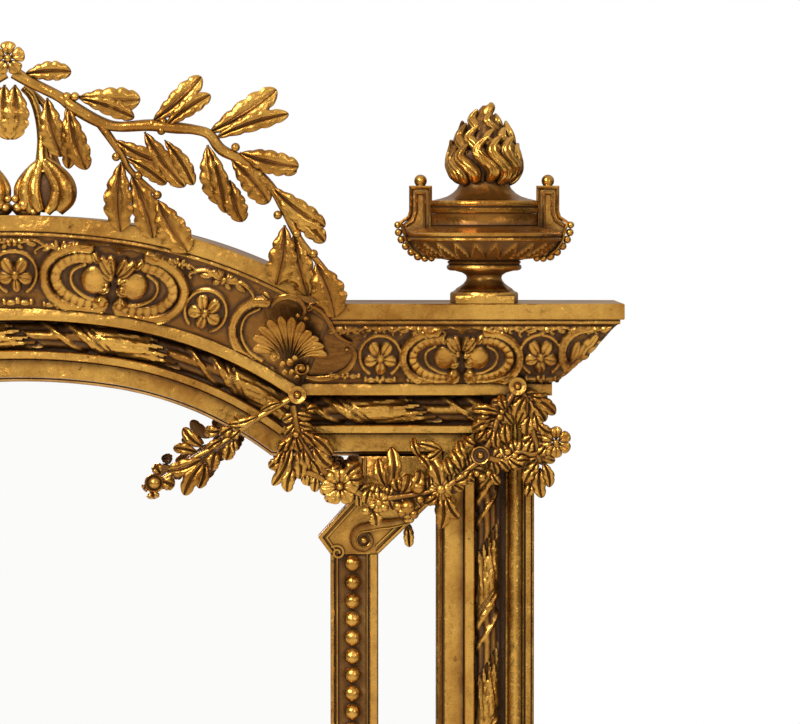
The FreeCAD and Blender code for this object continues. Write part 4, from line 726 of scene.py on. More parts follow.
CREST = -160.0
LAUREL_STEM = [(15.4, 73), (30, 82), (60, 97), (75, 108), (100, 122), (120, 127), (150, 125.5),
               (175, 128), (195, 130), (210, 135), (222, 150), (245, 162), (270, 185), (285, 210),
               (300, 240), (325, 270), (343, 300)]
LAUREL_LEAVES = [
    (25, 75, 72, 72, 15), (80, 97, 141, 100, 20), (80, 99, 135, 118, 14), (48, 98, 62, 157, 20),
    (68, 105, 69, 169, 14), (70, 108, 87, 170, 18), (16, 85, 12.5, 140, 22),
    (153, 122, 202, 77, 17), (166, 127, 211, 95, 14), (209, 133, 277, 90, 20),
    (215, 139, 289, 114, 14), (240, 153, 299, 167, 18), (240, 153, 297, 172, 16),
    (208, 145, 222, 205, 20), (208, 145, 226, 213, 14), (230, 180, 242.5, 222, 17),
    (232, 160, 269, 203, 20), (272, 187, 325, 227, 17), (283, 205, 325, 242, 16),
    (115, 140, 168, 165, 14), (127, 158, 167, 184, 12), (145, 132, 185, 187, 18),
    (165, 140, 194, 185, 13), (122, 162, 121, 231, 22), (132, 175, 153, 238, 22),
    (158, 200, 188, 252, 24), (285, 225, 276.5, 285, 22), (295, 232, 308, 296, 22),
    (316, 262, 335, 317, 26)]
LAUREL_BRANCH = [(101, 124.5), (115, 144), (123.5, 157), (131.6, 171.4), (158, 195)]
LAUREL_BERRIES = [(68, 97), (76, 97), (153, 124), (164, 122), (162, 131), (236, 147.5),
                  (117, 157), (139, 175.5), (158, 195), (278, 215), (297, 234), (313.7, 253.7)]


def build_crest(gold_leaf):
    """The laurel branches and the flower between them."""
    place = upright(CREST)
    made = Form()

    def at(x, y):
        return seen(x, y, CREST)
    stem = [at(*p) for p in LAUREL_STEM]
    radii = np.interp(np.linspace(0, 1, len(stem)), [0, 0.3, 0.7, 1], [7.4, 7.2, 6.2, 3.6])
    radii = radii * (1 + 0.10 * np.cos(1.9 * np.arange(len(stem))))
    tube(made, stem, radii, place, out=3, shade=0.1)
    tube(made, [at(*p) for p in LAUREL_BRANCH], [5.6, 5, 4.6, 4, 3], place, out=3, shade=0.1)
    for k, (x0, y0, x1, y1, wide) in enumerate(LAUREL_LEAVES):
        leaf(made, at(x0, y0), at(x1, y1), wide * PIXEL * 1.36, 8.0, place,
             out=2.2 * ((k * 7) % 3), lobes=5, notch=0.22, lift=4, droop=3, groove=0.24,
             belly=0.64, bend=0.04 * (-1) ** k, rows=28)
    for x, y in LAUREL_BERRIES:
        ball(made, at(x, y), 5.6, place, out=5)
    both(made, "laurel_branch", gold_leaf, angle=60)
    rose = Form()
    flower(rose, (0, seen(15, 58.7, -178)[1]), 21, upright(-176), petals=5, turn=90, thick=6)
    piece(rose, "crest_flower_gilt", gold_leaf, nodes=["crest_flower"], angle=60)


# ---------------------------------------------------------------- more shaping

def turned_form(profile, axis, cols=48, wave=None, up=True):
    """A turned shape from a profile of (radius, height, shelter) round an upright axis.
    wave may add to the radius at (angle, height, radius)."""
    made = Form()
    turn = np.linspace(0, 2 * math.pi, cols, endpoint=False)
    grid, shades = [], []
    for radius, height, shade in profile:
        size = radius + (wave(turn, height, radius) if wave else 0 * turn)
        if up:
            grid.append(np.stack([axis[0] + size * np.sin(turn), axis[1] - size * np.cos(turn),
                                  axis[2] + height + 0 * turn], -1))
        else:
            grid.append(np.stack([axis[0] + size * np.sin(turn), axis[1] - height + 0 * turn,
                                  axis[2] + size * np.cos(turn)], -1))
        shades.append(shade + 0 * turn)
    rings(made, grid, np.array(shades))
    return made


def inset(outline, gap):
    """The outline moved inwards by a gap, at its corners' bisectors."""
    points = np.asarray(outline, float)
    before, after = np.roll(points, 1, 0), np.roll(points, -1, 0)
    first, second = points - before, after - points
    first /= np.linalg.norm(first, axis=1)[:, None]
    second /= np.linalg.norm(second, axis=1)[:, None]
    area = np.sum(points[:, 0] * after[:, 1] - after[:, 0] * points[:, 1])
    way = 1 if area > 0 else -1
    normal = np.stack([-(first + second)[:, 1], (first + second)[:, 0]], -1)
    normal /= np.maximum(np.linalg.norm(normal, axis=1), 1e-6)[:, None]
    cosine = np.sum(normal * np.stack([-first[:, 1], first[:, 0]], -1), 1)
    return points + way * normal * (gap / np.clip(cosine, 0.35, 1))[:, None]


def plate(form, outline, low, high, place, bevel=1.2, shade=0.25):
    """A flat plate between two heights with a softened front edge."""
    points = np.asarray(outline, float)
    grid = [(points, low), (points, high - bevel),
            (inset(points, bevel * 0.35), high - bevel * 0.3), (inset(points, bevel), high)]
    # Painted shade: the plate's foot is darker and its softened front edge lightest.
    rings(form, [place(p[:, 0], p[:, 1], np.full(len(p), w)) for p, w in grid],
          np.array([[0.7], [0.3], [0.0], [shade]]) + np.zeros(len(points)))


def band(form, path, profile, place, out=0.0, shut=False, taper=None):
    """A moulded band along a path; profile points are (across, out, shelter)."""
    path = np.asarray(path, float)
    if shut:
        before, after = np.roll(path, 1, 0), np.roll(path, -1, 0)
    else:
        before = np.vstack([2 * path[0] - path[1], path[:-1]])
        after = np.vstack([path[1:], 2 * path[-1] - path[-2]])
    first, second = path - before, after - path
    first /= np.maximum(np.linalg.norm(first, axis=1), 1e-9)[:, None]
    second /= np.maximum(np.linalg.norm(second, axis=1), 1e-9)[:, None]
    normal = np.stack([-(first + second)[:, 1], (first + second)[:, 0]], -1)
    normal /= np.maximum(np.linalg.norm(normal, axis=1), 1e-9)[:, None]
    cosine = np.clip(np.sum(normal * np.stack([-first[:, 1], first[:, 0]], -1), 1), 0.4, 1)
    size = np.ones(len(path)) if taper is None else np.interp(
        np.linspace(0, 1, len(path)), np.linspace(0, 1, len(taper)), taper)
    section = np.array([(a, w) for a, w, _ in profile])
    grid = []
    for p, n, c, k in zip(path, normal, cosine, size):
        flat = p + np.outer(section[:, 0] * k / c, n)
        grid.append(place(flat[:, 0], flat[:, 1], out + section[:, 1] * (0.4 + 0.6 * k)))
    shade = np.array([s for *_, s in profile])[None, :]
    if shut:
        grid.append(grid[0])
    rings(form, grid, shade, capped=not shut)


def spiral(centre, start, end, turns, angle, steps=28):
    """A path that winds in from one radius to another, starting at an angle in degrees."""
    t = np.linspace(0, 1, steps)
    turn = math.radians(angle) + 2 * math.pi * turns * t
    size = start + (end - start) * t ** 0.85
    return np.stack([centre[0] + size * np.cos(turn), centre[1] + size * np.sin(turn)], -1)


# ---------------------------------------------------------------- base

def build_base(gold_leaf):
    """The bottom rail and the plinth blocks."""
    made = Form()
    grid = []
    for x in np.linspace(-539, 539, 13):
        grid.append([(x, d, BASE_Z - o) for o, d, _ in RAIL_PROFILE if o < 79.9]
                    + [(x, -26, 70), (x, -42, 69.6), (x, -43, 68.6), (x, -43, 58), (x, -41, 57.2),
                       (x, -44, 56), (x, -50, 54), (x, -50, 1), (x, -49, 0), (x, WALL, 0),
                       (x, WALL, BASE_Z - LIP), (x, GLASS, BASE_Z - LIP)])
    shades = [s for o, _, s in RAIL_PROFILE if o < 79.9] + [1, 0.4, 0, 0, 0.6, 0.6, 0.1, 0.2, 0.3,
                                                            0.5, 0.8, 0.9]
    rings(made, grid, np.array(shades)[None, :])
    piece(made, "bottom_rail_gilt", gold_leaf, nodes=["bottom_rail"])

    block = Form()
    steps = [(0, 14, 0.4), (1.5, 14, 0.1), (24, 14, 0.1), (26, 12.6, 0.0), (27, 11, 0.8),
             (29, 11.4, 0.2), (33, 8.6, 0.1), (35.4, 6.8, 0.3), (36, 6, 0.9), (136, 6, 0.5),
             (136.6, 8, 0.9), (138, 10, 0.2), (141, 12.6, 0.0), (142.6, 12, 0.7),
             (143.2, 14, 0.1), (149, 14, 0.0), (150, 12.8, 0.2)]
    loops = []
    for up, out, _ in steps:
        front, right = PLINTH_Y - out, OUTER_X + out
        loops.append([(539, WALL, up), (539, front, up), (right, front, up), (right, WALL, up)])
    rings(block, loops, np.array([[s] * 4 for *_, s in steps]))
    panel = [(560, 50), (631, 50), (631, 122), (560, 122)]
    band(block, panel, [(-3, -3, 0.6), (-2.4, 1.4, 0.1), (0, 2.6, 0.0), (2.4, 1.4, 0.1),
                        (3, -3, 0.6)], upright(-56), out=1, shut=True)
    flower(block, (595.5, 86), 26, upright(-56), out=1, petals=8, thick=6, boss=0.2)
    both(block, "plinth_block", gold_leaf)


# ---------------------------------------------------------------- bead rails

def bead_tree():
    """A string of beads down a line."""
    tree = bpy.data.node_groups.new("bead_string", "GeometryNodeTree")
    face = tree.interface
    for name, kind in (("Beads", "NodeSocketInt"), ("Radius", "NodeSocketFloat"),
                       ("Pitch", "NodeSocketFloat"), ("First", "NodeSocketVector"),
                       ("Finish", "NodeSocketMaterial")):
        face.new_socket(name, in_out="INPUT", socket_type=kind)
    face.new_socket("Geometry", in_out="OUTPUT", socket_type="NodeSocketGeometry")
    given = node(tree, "NodeGroupInput").outputs
    step = node(tree, "ShaderNodeMath", {"operation": "MULTIPLY"}, _0=given["Pitch"], _1=-1.0)
    offset = node(tree, "ShaderNodeCombineXYZ", Z=step.outputs[0])
    line = node(tree, "GeometryNodeMeshLine", Count=given["Beads"], Start_Location=given["First"],
                Offset=offset.outputs[0])
    bead = node(tree, "GeometryNodeMeshUVSphere", Segments=16, Rings=10, Radius=given["Radius"])
    strung = node(tree, "GeometryNodeInstanceOnPoints", Points=line.outputs[0],
                  Instance=bead.outputs[0])
    real = node(tree, "GeometryNodeRealizeInstances", Geometry=strung.outputs[0])
    smooth = node(tree, "GeometryNodeSetShadeSmooth", Geometry=real.outputs[0])
    done = node(tree, "GeometryNodeSetMaterial", Geometry=smooth.outputs[0],
                Material=given["Finish"])
    node(tree, "NodeGroupOutput", Geometry=done.outputs[0])
    return tree


def grow(tree, name, values, nodes, body="frame"):
    """Run a node tree, keep its result as a plain mesh, and make it a piece."""
    made = bpy.data.objects.new(name, bpy.data.meshes.new(name))
    bpy.context.scene.collection.objects.link(made)
    step = made.modifiers.new("grow", "NODES")
    step.node_group = tree
    for item in tree.interface.items_tree:
        if item.item_type == "SOCKET" and item.in_out == "INPUT" and item.name in values:
            step[item.identifier] = values[item.name]
    bpy.context.view_layer.update()
    graph = bpy.context.evaluated_depsgraph_get()
    mesh = bpy.data.meshes.new_from_object(made.evaluated_get(graph))
    made.modifiers.remove(step)
    made.data = mesh
    mesh.name = name
    if not mesh.materials:
        mesh.materials.append(values["Finish"])
    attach(made, body)
    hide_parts(*nodes)
    return made


BEAD_X, BEAD_TOP, BEAD_OUT, BEADS = 420, 1464.3, 20, 50


def build_bead_rails(gold_leaf):
    """The rails between the plates, and their strings of beads."""
    profile = [(392, GLASS, 0.8), (392, -20, 0.5), (392.8, -21.6, 0), (396, -22, 0),
               (397, -21, 0.1), (397.6, -18, 0.9), (399.4, -18, 0.9), (399.8, -20.2, 0.2),
               (401.4, -20.2, 0.1), (402, -16, 1.0), (404, -15.4, 0.35), (436, -15.4, 0.35),
               (438, -16, 1.0), (438.6, -20.2, 0.1), (439.4, -20.2, 0.2), (440.2, -18, 1.0),
               (441.6, -18, 1.0), (442.2, -21.2, 0.1), (443.4, -22, 0), (451.4, -22, 0),
               (452.6, -21, 0.1), (453, -19, 0.4), (453, GLASS, 0.8), (444, GLASS, 0.9),
               (444, 10, 0.9), (429, 10, 0.9), (429, GLASS, 0.9)]
    made = Form()
    rings(made, [[(x, d, z) for x, d, _ in profile] for z in np.linspace(276, 1476, 9)],
          np.array([s for *_, s in profile])[None, :])
    both(made, "bead_rail", gold_leaf)
    tree, size = bead_tree(), sizes()
    for side, way in (("left", -1), ("right", 1)):
        grow(tree, f"{side}_bead_string_gilt",
             {"Beads": BEADS, "Radius": size.bead_radius, "Pitch": size.bead_pitch,
              "First": (way * BEAD_X * MM, -BEAD_OUT * MM, BEAD_TOP * MM), "Finish": gold_leaf},
             nodes=[f"{side}_bead_string"])


# ---------------------------------------------------------------- brackets

BRACKET = [(428, 1602), (428, 1556), (376, 1498), (392, 1476), (453, 1476), (527, 1548),
           (527, 1602)]
FILLET_BAND = [(-2.2, -6, 0.7), (-2.2, 2.6, 0.3), (-1.4, 3.6, 0.0), (1.4, 3.6, 0.0),
               (2.2, 2.6, 0.2), (2.2, -6, 0.9)]


def build_brackets(gold_leaf):
    """The scrolled brackets over and under the side plates."""
    place = upright(-20)

    def at(x, y):
        return seen(x, y, -24)
    made = Form()
    plate(made, BRACKET, -25, 0.6, place, bevel=1.5, shade=0.2)
    thin = [(a * 0.6, w * 0.55, s) for a, w, s in FILLET_BAND]
    for path, section in (
            ([(430.6, 1600), (430.6, 1555), (379.6, 1498.2), (394, 1478.6)], FILLET_BAND),
            ([(452, 1479), (525.5, 1550.5)], FILLET_BAND),
            ([(437, 1600), (437, 1552.6), (387.4, 1497.6), (398.5, 1481)], thin),
            ([(450, 1486), (523, 1557)], thin)):
        band(made, path, section, place, out=0.4)
    centre = at(363.9, 540.7)
    wind = spiral(centre, 16.0, 8.6, 0.98, 78, 40)
    tail = curve([at(411, 521), at(402, 522.5), at(391, 524.5), at(380, 525.5),
                  (wind[0][0], wind[0][1])], 6)
    ribbon = [(-6.4, -3, 0.8), (-6.2, 3.4, 0.1), (-5.0, 5.0, 0.0), (-3.6, 3.4, 0.6),
              (3.2, 2.6, 0.2), (4.8, 4.8, 0.0), (5.8, 4.4, 0.0), (6.4, -3, 0.8)]
    path = np.vstack([tail[:-1], wind])
    band(made, path, ribbon, place, out=1.5,
         taper=[0.62, 0.8, 0.95, 0.95, 0.9, 0.8, 0.66, 0.5, 0.36, 0.2])
    ball(made, centre, 4.6, place, out=3.5, shade=-0.2)
    small = at(337.4, 553.6)
    band(made, np.vstack([[at(331, 548)], spiral(small, 9.4, 2.4, -1.4, 120, 22)]),
         [(-1.8, -2, 0.8), (-1.2, 3, 0.0), (1.2, 3, 0.0), (1.8, -2, 0.8)], place, out=0.6)
    for k in range(4):
        ball(made, at(407 + 3.4 * (k % 2), 516 + 3.6 * (k // 2)), 5.2, place, out=6, squash=0.8)
    leaf(made, at(408, 527), at(409.5, 548), 14, 6, place, out=4, lobes=3)
    both(made, "upper_bracket", gold_leaf)
    points = np.concatenate(made.points)
    points[:, 2] = BASE_Z + SIGHT_Z - points[:, 2]
    lower = Form()
    lower.add(points, [face[::-1] for face in made.faces], np.concatenate(made.shelter))
    both(lower, "lower_bracket", gold_leaf)


# ---------------------------------------------------------------- urns

URN = (586.0, -114.5, 1800.0)
# The urn's handle is drawn in an enlargement: its scale, the urn's middle and its foot.
ENLARGED, HANDLE_X, HANDLE_Y = 7.295, 687, 1510
URN_BODY = [
    (38, 0, 0.6), (42, 0, 0.5), (42.5, 1.2, 0.2), (42.5, 11.4, 0.1), (41.4, 13.6, 0.0),
    (38.6, 14.6, 0.1), (37.8, 15.4, 0.7), (36.2, 16.2, 0.6), (34.6, 18.4, 0.1), (30.6, 20.8, 0.2),
    (26.0, 24.2, 0.25), (22.9, 28, 0.15), (21.7, 31.2, 0.1), (22.6, 34.6, 0.35), (27.2, 37.8, 0.6),
    (33.4, 39.4, 0.8), (36, 40.2, 0.9), (42.6, 40.6, 0.5), (45.6, 42, 0.1), (46.9, 44.4, 0.0),
    (46.2, 47, 0.1), (44.2, 48.2, 0.8), (44.6, 49.2, 0.4), (46.0, 50.6, 0.0), (45.4, 52.2, 0.1),
    (43.6, 53.0, 0.8), (50.5, 54.4, 0.6), (58.2, 56.6, 0.4), (66.2, 59.6, 0.3), (73.6, 63.2, 0.25),
    (80.4, 67.2, 0.25), (86.6, 71.6, 0.35), (91.4, 75.6, 0.6), (93.6, 77.2, 0.9),
    (95.8, 77.8, 0.2), (97.0, 79.4, 0.0), (96.8, 81.4, 0.1), (95.0, 82.4, 0.8), (95.2, 83.0, 0.7),
    (96.6, 84.2, 0.0), (97.0, 86.0, 0.0), (95.8, 87.8, 0.0), (92, 89.0, 0.2), (84, 91.4, 0.35),
    (74, 94.0, 0.45), (66.4, 96.2, 0.55), (67.2, 97.4, 0.9), (66.6, 99, 0.6), (66.2, 102, 0.25),
    (66.2, 106, 0.2), (66.6, 109.4, 0.4), (67.2, 111.6, 0.9), (40, 112, 0.9)]
URN_LID = [
    (40, 111.6, 0.9), (66.8, 111.8, 0.9), (68, 112.4, 0.3), (68.6, 113.6, 0.1), (68.6, 118.2, 0.0),
    (66, 119.4, 0.8), (66, 120.2, 0.8), (67.4, 121, 0.1), (68, 122.4, 0.0), (68, 125.4, 0.0),
    (66.6, 127.4, 0.0), (62.6, 128.4, 0.3), (54.6, 130.2, 0.45), (46, 133, 0.5), (39.4, 137, 0.45),
    (34.4, 142, 0.35), (31.4, 147, 0.3), (30.2, 150.6, 0.6), (20, 151, 0.8)]


def zigzag(form):
    """Raise a zigzag of fillets under an urn's bowl, square to its slope."""
    points, shade = np.concatenate(form.points), np.concatenate(form.shelter)
    height = points[:, 2] - URN[2]
    turn = np.arctan2(points[:, 0] - URN[0], -(points[:, 1] - URN[1]))
    share = (height - 56) / 19
    tooth = np.abs(np.mod(turn * 22 / (2 * math.pi) + 0.5, 1) * 2 - 1)
    on = (share > 0) & (share < 1)
    line = np.exp(-((tooth - share) / 0.16) ** 2)
    points[:, 2] -= np.where(on, 3.0 * line - 1.6 * (tooth < share), 0)
    # Painted shade: the fillets' ridges are lighter and the sunk part between them darker.
    shade = np.where(on, np.clip(0.55 - 0.6 * line + 0.2 * (tooth < share), 0, 1), shade)
    made = Form()
    made.add(points, form.faces, shade)
    return made


def build_urns(gold_leaf):
    """The urns' bodies, lids and handles."""
    detail = []
    for (r0, h0, s0), (r1, h1, s1) in zip(URN_BODY, URN_BODY[1:]):
        parts = 6 if 53 < h0 < 77 else 1
        detail += [(r0 + (r1 - r0) * k / parts, h0 + (h1 - h0) * k / parts,
                    s0 + (s1 - s0) * k / parts) for k in range(parts)]
    detail.append(URN_BODY[-1])
    body = zigzag(turned_form(detail, URN, cols=264))
    front = Form()
    block = np.array([(-36.5, 0), (36.5, 0), (36.5, 10), (-36.5, 10)]) + (URN[0], URN[2])
    plate(front, block, 0, PROJECTION[3] + URN[1], upright(URN[1]), bevel=1.4, shade=0.0)
    body.include(front)
    both(body, "urn_body", gold_leaf, angle=38)
    both(turned_form(URN_LID, URN, cols=96), "urn_lid", gold_leaf, angle=38)
    build_flame(gold_leaf)

    place = upright(URN[1])
    handle = Form()

    def at(x, y):
        return (URN[0] + (HANDLE_X - x) / ENLARGED * PIXEL,
                URN[2] + (HANDLE_Y - y) / ENLARGED * PIXEL)
    strap = [at(*p) for p in ((160, 672), (292, 672), (302, 975), (300, 1180), (215, 1160),
                              (165, 1120), (122, 1060), (100, 985), (92, 940), (150, 885),
                              (160, 840))]
    plate(handle, strap, -6, 4.6, place, bevel=1.0, shade=0.2)
    rib = [(-1.5, -4, 0.8), (-1.3, 2.0, 0.1), (0, 3.0, 0.0), (1.3, 2.0, 0.1), (1.5, -4, 0.8)]
    outer = [at(*p) for p in ((296, 975), (296, 668), (152, 668), (152, 840), (138, 885),
                              (80, 925), (100, 985), (122, 1060), (165, 1120), (215, 1160))]
    inner = [at(*p) for p in ((252, 975), (252, 712), (194, 712), (194, 850), (170, 912),
                              (112, 950))]
    band(handle, outer, [(a * 1.35, w * 1.3, s) for a, w, s in rib], place, out=5)
    band(handle, inner, rib, place, out=4.6)
    ball(handle, at(224, 622), 8, place, out=0, rows=9, cols=16)
    ball(handle, at(224, 655), 6, place, out=0, squash=1.1)
    for x, y, r in ((58, 942, 27), (64, 996, 29), (84, 1048, 30), (116, 1096, 30),
                    (157, 1138, 31), (205, 1170, 32), (256, 1184, 28), (304, 1184, 26)):
        ball(handle, at(x, y), r / ENLARGED * PIXEL, place, out=2, rows=8, cols=12)
    other = handle.mirrored()
    moved = np.concatenate(other.points)
    moved[:, 0] += 2 * URN[0]
    handle.add(moved, other.faces, np.concatenate(other.shelter))
    both(handle, "urn_handles", gold_leaf, angle=45)


def build_flame(gold_leaf):
    """The waved locks of flame over each urn."""
    made = turned_form(
        [(20, 149, 0.8), (29, 150, 0.6), (29, 154, 0.4), (31, 162, 0.6), (34, 172, 0.6),
         (35, 184, 0.6), (32, 196, 0.6), (27, 208, 0.6), (21, 220, 0.6), (14, 230, 0.5),
         (7, 240, 0.4), (2, 246, 0.3)], URN, cols=72,
        wave=lambda turn, height, radius: 0.09 * radius * np.cos(
            14 * turn + 5 * np.sin(height / 14.0)))
    place = upright(URN[1])
    rng = np.random.default_rng(sizes().seed)

    def tongue(turn, low, high, radius, sway, flick, thick):
        t = np.linspace(0, 1, 11)
        height = low + (high - low) * t
        size = radius * (0.86 + 0.26 * np.sin(math.pi * np.clip(t * 1.05, 0, 1)) ** 0.8) \
            + flick * t ** 4 - 0.22 * radius * t ** 2
        wide = thick * np.array([0.45, 0.85, 1, 1.05, 1.05, 1, 0.95, 0.85, 0.7, 0.5, 0.2])
        for shift, scale, proud in ((0.0, 1.0, 0.0), (-0.5, 0.4, 0.72), (0.42, 0.36, 0.78)):
            angle = turn + sway * np.sin(0.5 + 1.9 * math.pi * t) + shift * wide / (size + 6)
            far = size + proud * wide
            path = np.stack([URN[0] + far * np.sin(angle), URN[2] + height,
                             far * np.cos(angle)], -1)
            tube(made, path, wide * scale, place, steps=3, sides=9 if scale == 1 else 6,
                 shade=0.12 if scale == 1 else -0.3)
    for k in range(12):
        tongue(2 * math.pi * k / 12 + 0.1 * rng.uniform(-1, 1), 150 + 3 * rng.uniform(-1, 1),
               202 + 8 * rng.uniform(-1, 1), 36, 0.26, 19, 8.6)
    for k in range(9):
        tongue(2 * math.pi * (k + 0.5) / 9, 178 + 3 * rng.uniform(-1, 1),
               222 + 6 * rng.uniform(-1, 1), 29, 0.30, 9, 7.4)
    for k in range(5):
        tongue(2 * math.pi * k / 5 + 0.5, 206, 238 + 3 * rng.uniform(-1, 1), 15, 0.36, 5, 6.4)
    tip = [(URN[0] - 2, URN[2] + 214, 0), (URN[0] + 4, URN[2] + 226, 2),
           (URN[0] + 3, URN[2] + 236, 3), (URN[0] + 8, URN[2] + 244, 2),
           (URN[0] + 9, URN[2] + 249.5, 1)]
    tube(made, tip, [7, 8, 7.4, 6, 2.2], place, shade=-0.1)
    both(made, "urn_flame", gold_leaf, angle=60)


# ---------------------------------------------------------------- bow

def build_bow(gold_leaf):
    """The ribbon bow of the crest."""
    depth = -137
    place = upright(depth)
    made = Form()

    def at(x, y):
        return seen(x, y, depth)
    tube(made, [at(24, 88), at(33, 98), at(39, 116), at(42, 138), at(43, 158), at(45, 172)],
         [4.4, 5, 5, 5.4, 8.5, 15], place, out=0, sides=12, steps=5, shade=-0.1)
    tube(made, [at(27, 88), at(45, 106), at(52, 130), at(51, 150), at(52, 168)],
         [4, 4.4, 4.6, 6, 12], place, out=-9, sides=10, shade=0.3)
    centre = at(46, 190)
    knot = [(3, -28, 0.9), (13, -26, 0.9), (20, -20, 0.9), (24, -12, 0.9), (25, 0, 0.9),
            (24, 10, 0.9), (19, 20, 0.9), (13, 28, 0.9), (8, 35, 0.8)]
    wrapped = turned_form(knot, (centre[0], depth, centre[1]), cols=48)
    points = np.concatenate(wrapped.points)
    points[:, 1] = depth + (points[:, 1] - depth) * 0.5
    made.add(points, wrapped.faces, np.concatenate(wrapped.shelter))
    for path, radii, out in (
            ([(45, 160), (56, 170), (66, 184), (67, 198), (58, 211)], [6, 9, 12, 12, 8], 4),
            ([(44, 162), (51, 174), (57, 188), (55, 203), (48, 213)], [5, 6, 7, 7, 5], 11),
            ([(42, 162), (38, 176), (36, 190), (38, 203), (42, 211)], [5, 6, 8, 8, 5], 13),
            ([(41, 162), (32, 172), (27, 186), (27, 200), (33, 212)], [5, 7, 9, 9, 7], 6),
            ([(39, 163), (28, 174), (20, 188), (20, 202)], [4, 6, 7, 6], -1)):
        tube(made, [at(*p) for p in path], radii, place, out=out, sides=12, steps=5,
             shade=-0.05, flat=0.9)
    for x, y, r in ((25, 205, 8), (29, 198, 6), (19, 208, 6), (35, 212, 6), (16.5, 199, 5)):
        ball(made, at(x, y), r, place, out=8)
    tube(made, [at(16, 203), at(22, 209), at(30, 212), at(40, 215)], [9, 10, 9, 7], place, out=0)
    piece(doubled(made), "crest_bow_gilt", gold_leaf, nodes=["crest_bow"], angle=50)


# ---------------------------------------------------------------- garlands

GARLAND_BACK, SWAG = -71.0, -80.0
SPRIG_STEM = [(289, 400), (283, 403), (271, 410), (258.4, 417.3), (244.7, 426.2), (235, 434.4),
              (223, 442.7), (211.8, 449.5), (195.3, 457.8), (176, 471.5), (160, 481)]
SPRIG_LEAVES = [
    (202, 447, 182, 428.5, 13), (196, 452.5, 172.3, 448.5, 12), (202, 459.5, 165.9, 472, 17),
    (203, 463, 183, 496, 16), (205, 464, 198, 489.5, 12), (216, 452, 211, 471, 15),
    (229.6, 442.7, 225.5, 461, 13), (233.7, 440, 234.4, 451.5, 9), (219, 431.7, 204, 430.3, 12),
    (232, 428, 219, 437, 12), (258.4, 416, 227, 425, 9), (283, 402, 260, 411, 7),
    (247, 424, 233, 417, 8), (222, 440, 205, 452, 9), (240, 430, 228, 440, 8),
    (160, 474, 153.4, 464.5, 12), (146, 487, 141.5, 490, 9), (152, 491, 154, 500, 13),
    (161, 482, 174, 486, 15)]
GARLAND_LEAVES = [
    (291.3, 446.8, 272.1, 486.6, 12), (292.7, 468.7, 286.5, 493, 12), (298.2, 451, 299.5, 480, 12),
    (303.6, 449.5, 307.8, 471.5, 10), (294, 435.8, 283, 452, 13), (313.3, 446.8, 332.4, 469, 13),
    (310.5, 435.8, 332.4, 456, 12), (281, 461, 268.5, 468.7, 10), (305, 411, 318.7, 408, 8),
    (296, 437, 303, 456, 9), (300, 432, 317, 447, 10), (284, 450, 276, 474, 9),
    (309, 458, 322, 478, 10), (289, 440, 279, 456, 9),
    (345, 477, 361, 464, 13), (349, 480, 364, 478, 12), (334, 492, 326, 503, 11),
    (392, 487, 391.3, 447.5, 13), (386, 488, 378, 459, 11), (370, 489, 366, 505, 10),
    (373, 512, 376.5, 527, 12), (402.9, 494.4, 409.5, 474.5, 14), (399, 492, 396, 474, 11),
    (412, 492, 421, 470, 12), (442.7, 496, 441, 530, 14), (446, 497.7, 459, 520, 11),
    (437.7, 496, 425, 504, 9), (441, 487, 427.7, 455.5, 15), (443, 486, 443, 462, 11),
    (454.3, 483, 470, 474.5, 11), (419.5, 457, 412.5, 437.5, 8), (430, 470, 418, 455, 9),
    (416, 444, 443, 452, 9), (421, 462, 442, 450, 8),
    (452, 476, 446, 458, 10), (462, 470, 452, 450, 11), (466, 462, 458, 441, 10),
    (472, 470, 465, 482, 9), (476, 446, 463, 437, 9),
    (500.7, 413, 471.7, 409.5, 9), (492.4, 416.5, 476, 421.5, 10), (490.8, 421.5, 472, 430.5, 11),
    (505.7, 409.8, 500.7, 395, 9), (505.7, 423, 507.3, 444, 10), (494, 428, 485, 443, 9),
    (497, 430, 497, 450, 9), (486, 430, 476, 442, 8), (492, 473, 500, 485, 8),
    (498, 460, 510, 471, 9), (508, 458, 524, 468, 9), (514, 462, 530, 461, 9),
    (525.6, 396.6, 515.6, 420.5, 12), (528, 398, 528, 421, 11), (530.6, 416, 527, 437.5, 12),
    (533.9, 398.2, 556, 414.5, 12), (531, 396, 548, 397.5, 9), (533, 404, 546, 422, 11),
    (536, 414, 542, 433, 10), (523, 402, 518, 425, 9), (538, 424, 552, 434, 10),
    (522, 440, 519, 456, 10), (533, 440, 527, 457, 10), (546, 446, 536, 457, 9),
    (533.9, 467.9, 525, 484, 11), (530.6, 484, 527, 497.5, 9), (540.5, 468, 542.2, 499, 12),
    (543.8, 463, 550.5, 488, 10), (538, 462, 531, 476, 10)]
GARLAND_STEMS = [
    [(293, 406), (295.4, 419.4), (298.2, 433), (304, 446), (313, 460), (325, 473), (334, 480)],
    [(297, 474), (306, 473), (316, 476), (328, 484)],
    [(334, 486), (352, 491), (372, 499), (395, 498), (415, 495), (436, 491), (452, 484),
     (466, 472), (478, 463)],
    [(484, 456), (497, 461), (508, 460), (520, 452), (534, 455), (543, 450)],
    [(518, 388), (526, 398), (531, 412), (533, 430), (537, 446), (540, 462)],
    [(514, 394), (505, 408), (498, 420), (494, 434), (487, 448)]]
GARLAND_BALLS = [
    (296, 435, 4), (330.7, 477, 6), (339.9, 487, 4.5), (378.8, 502.7, 5.5), (372, 497, 5),
    (384, 508, 5), (407.8, 507.7, 8), (417.8, 487.8, 7.5), (441, 490, 5.5), (447, 489, 3.5),
    (482.5, 477.8, 4.5), (477, 474, 3.5), (489, 474, 3.5), (500, 417.3, 4), (502, 412, 3),
    (557, 444.7, 3.4), (548, 452, 4), (366, 512, 4.5), (398, 507, 5), (420, 500, 4.5),
    (402, 513, 5), (508, 452, 4), (515, 456, 3.6), (414, 515, 5)]


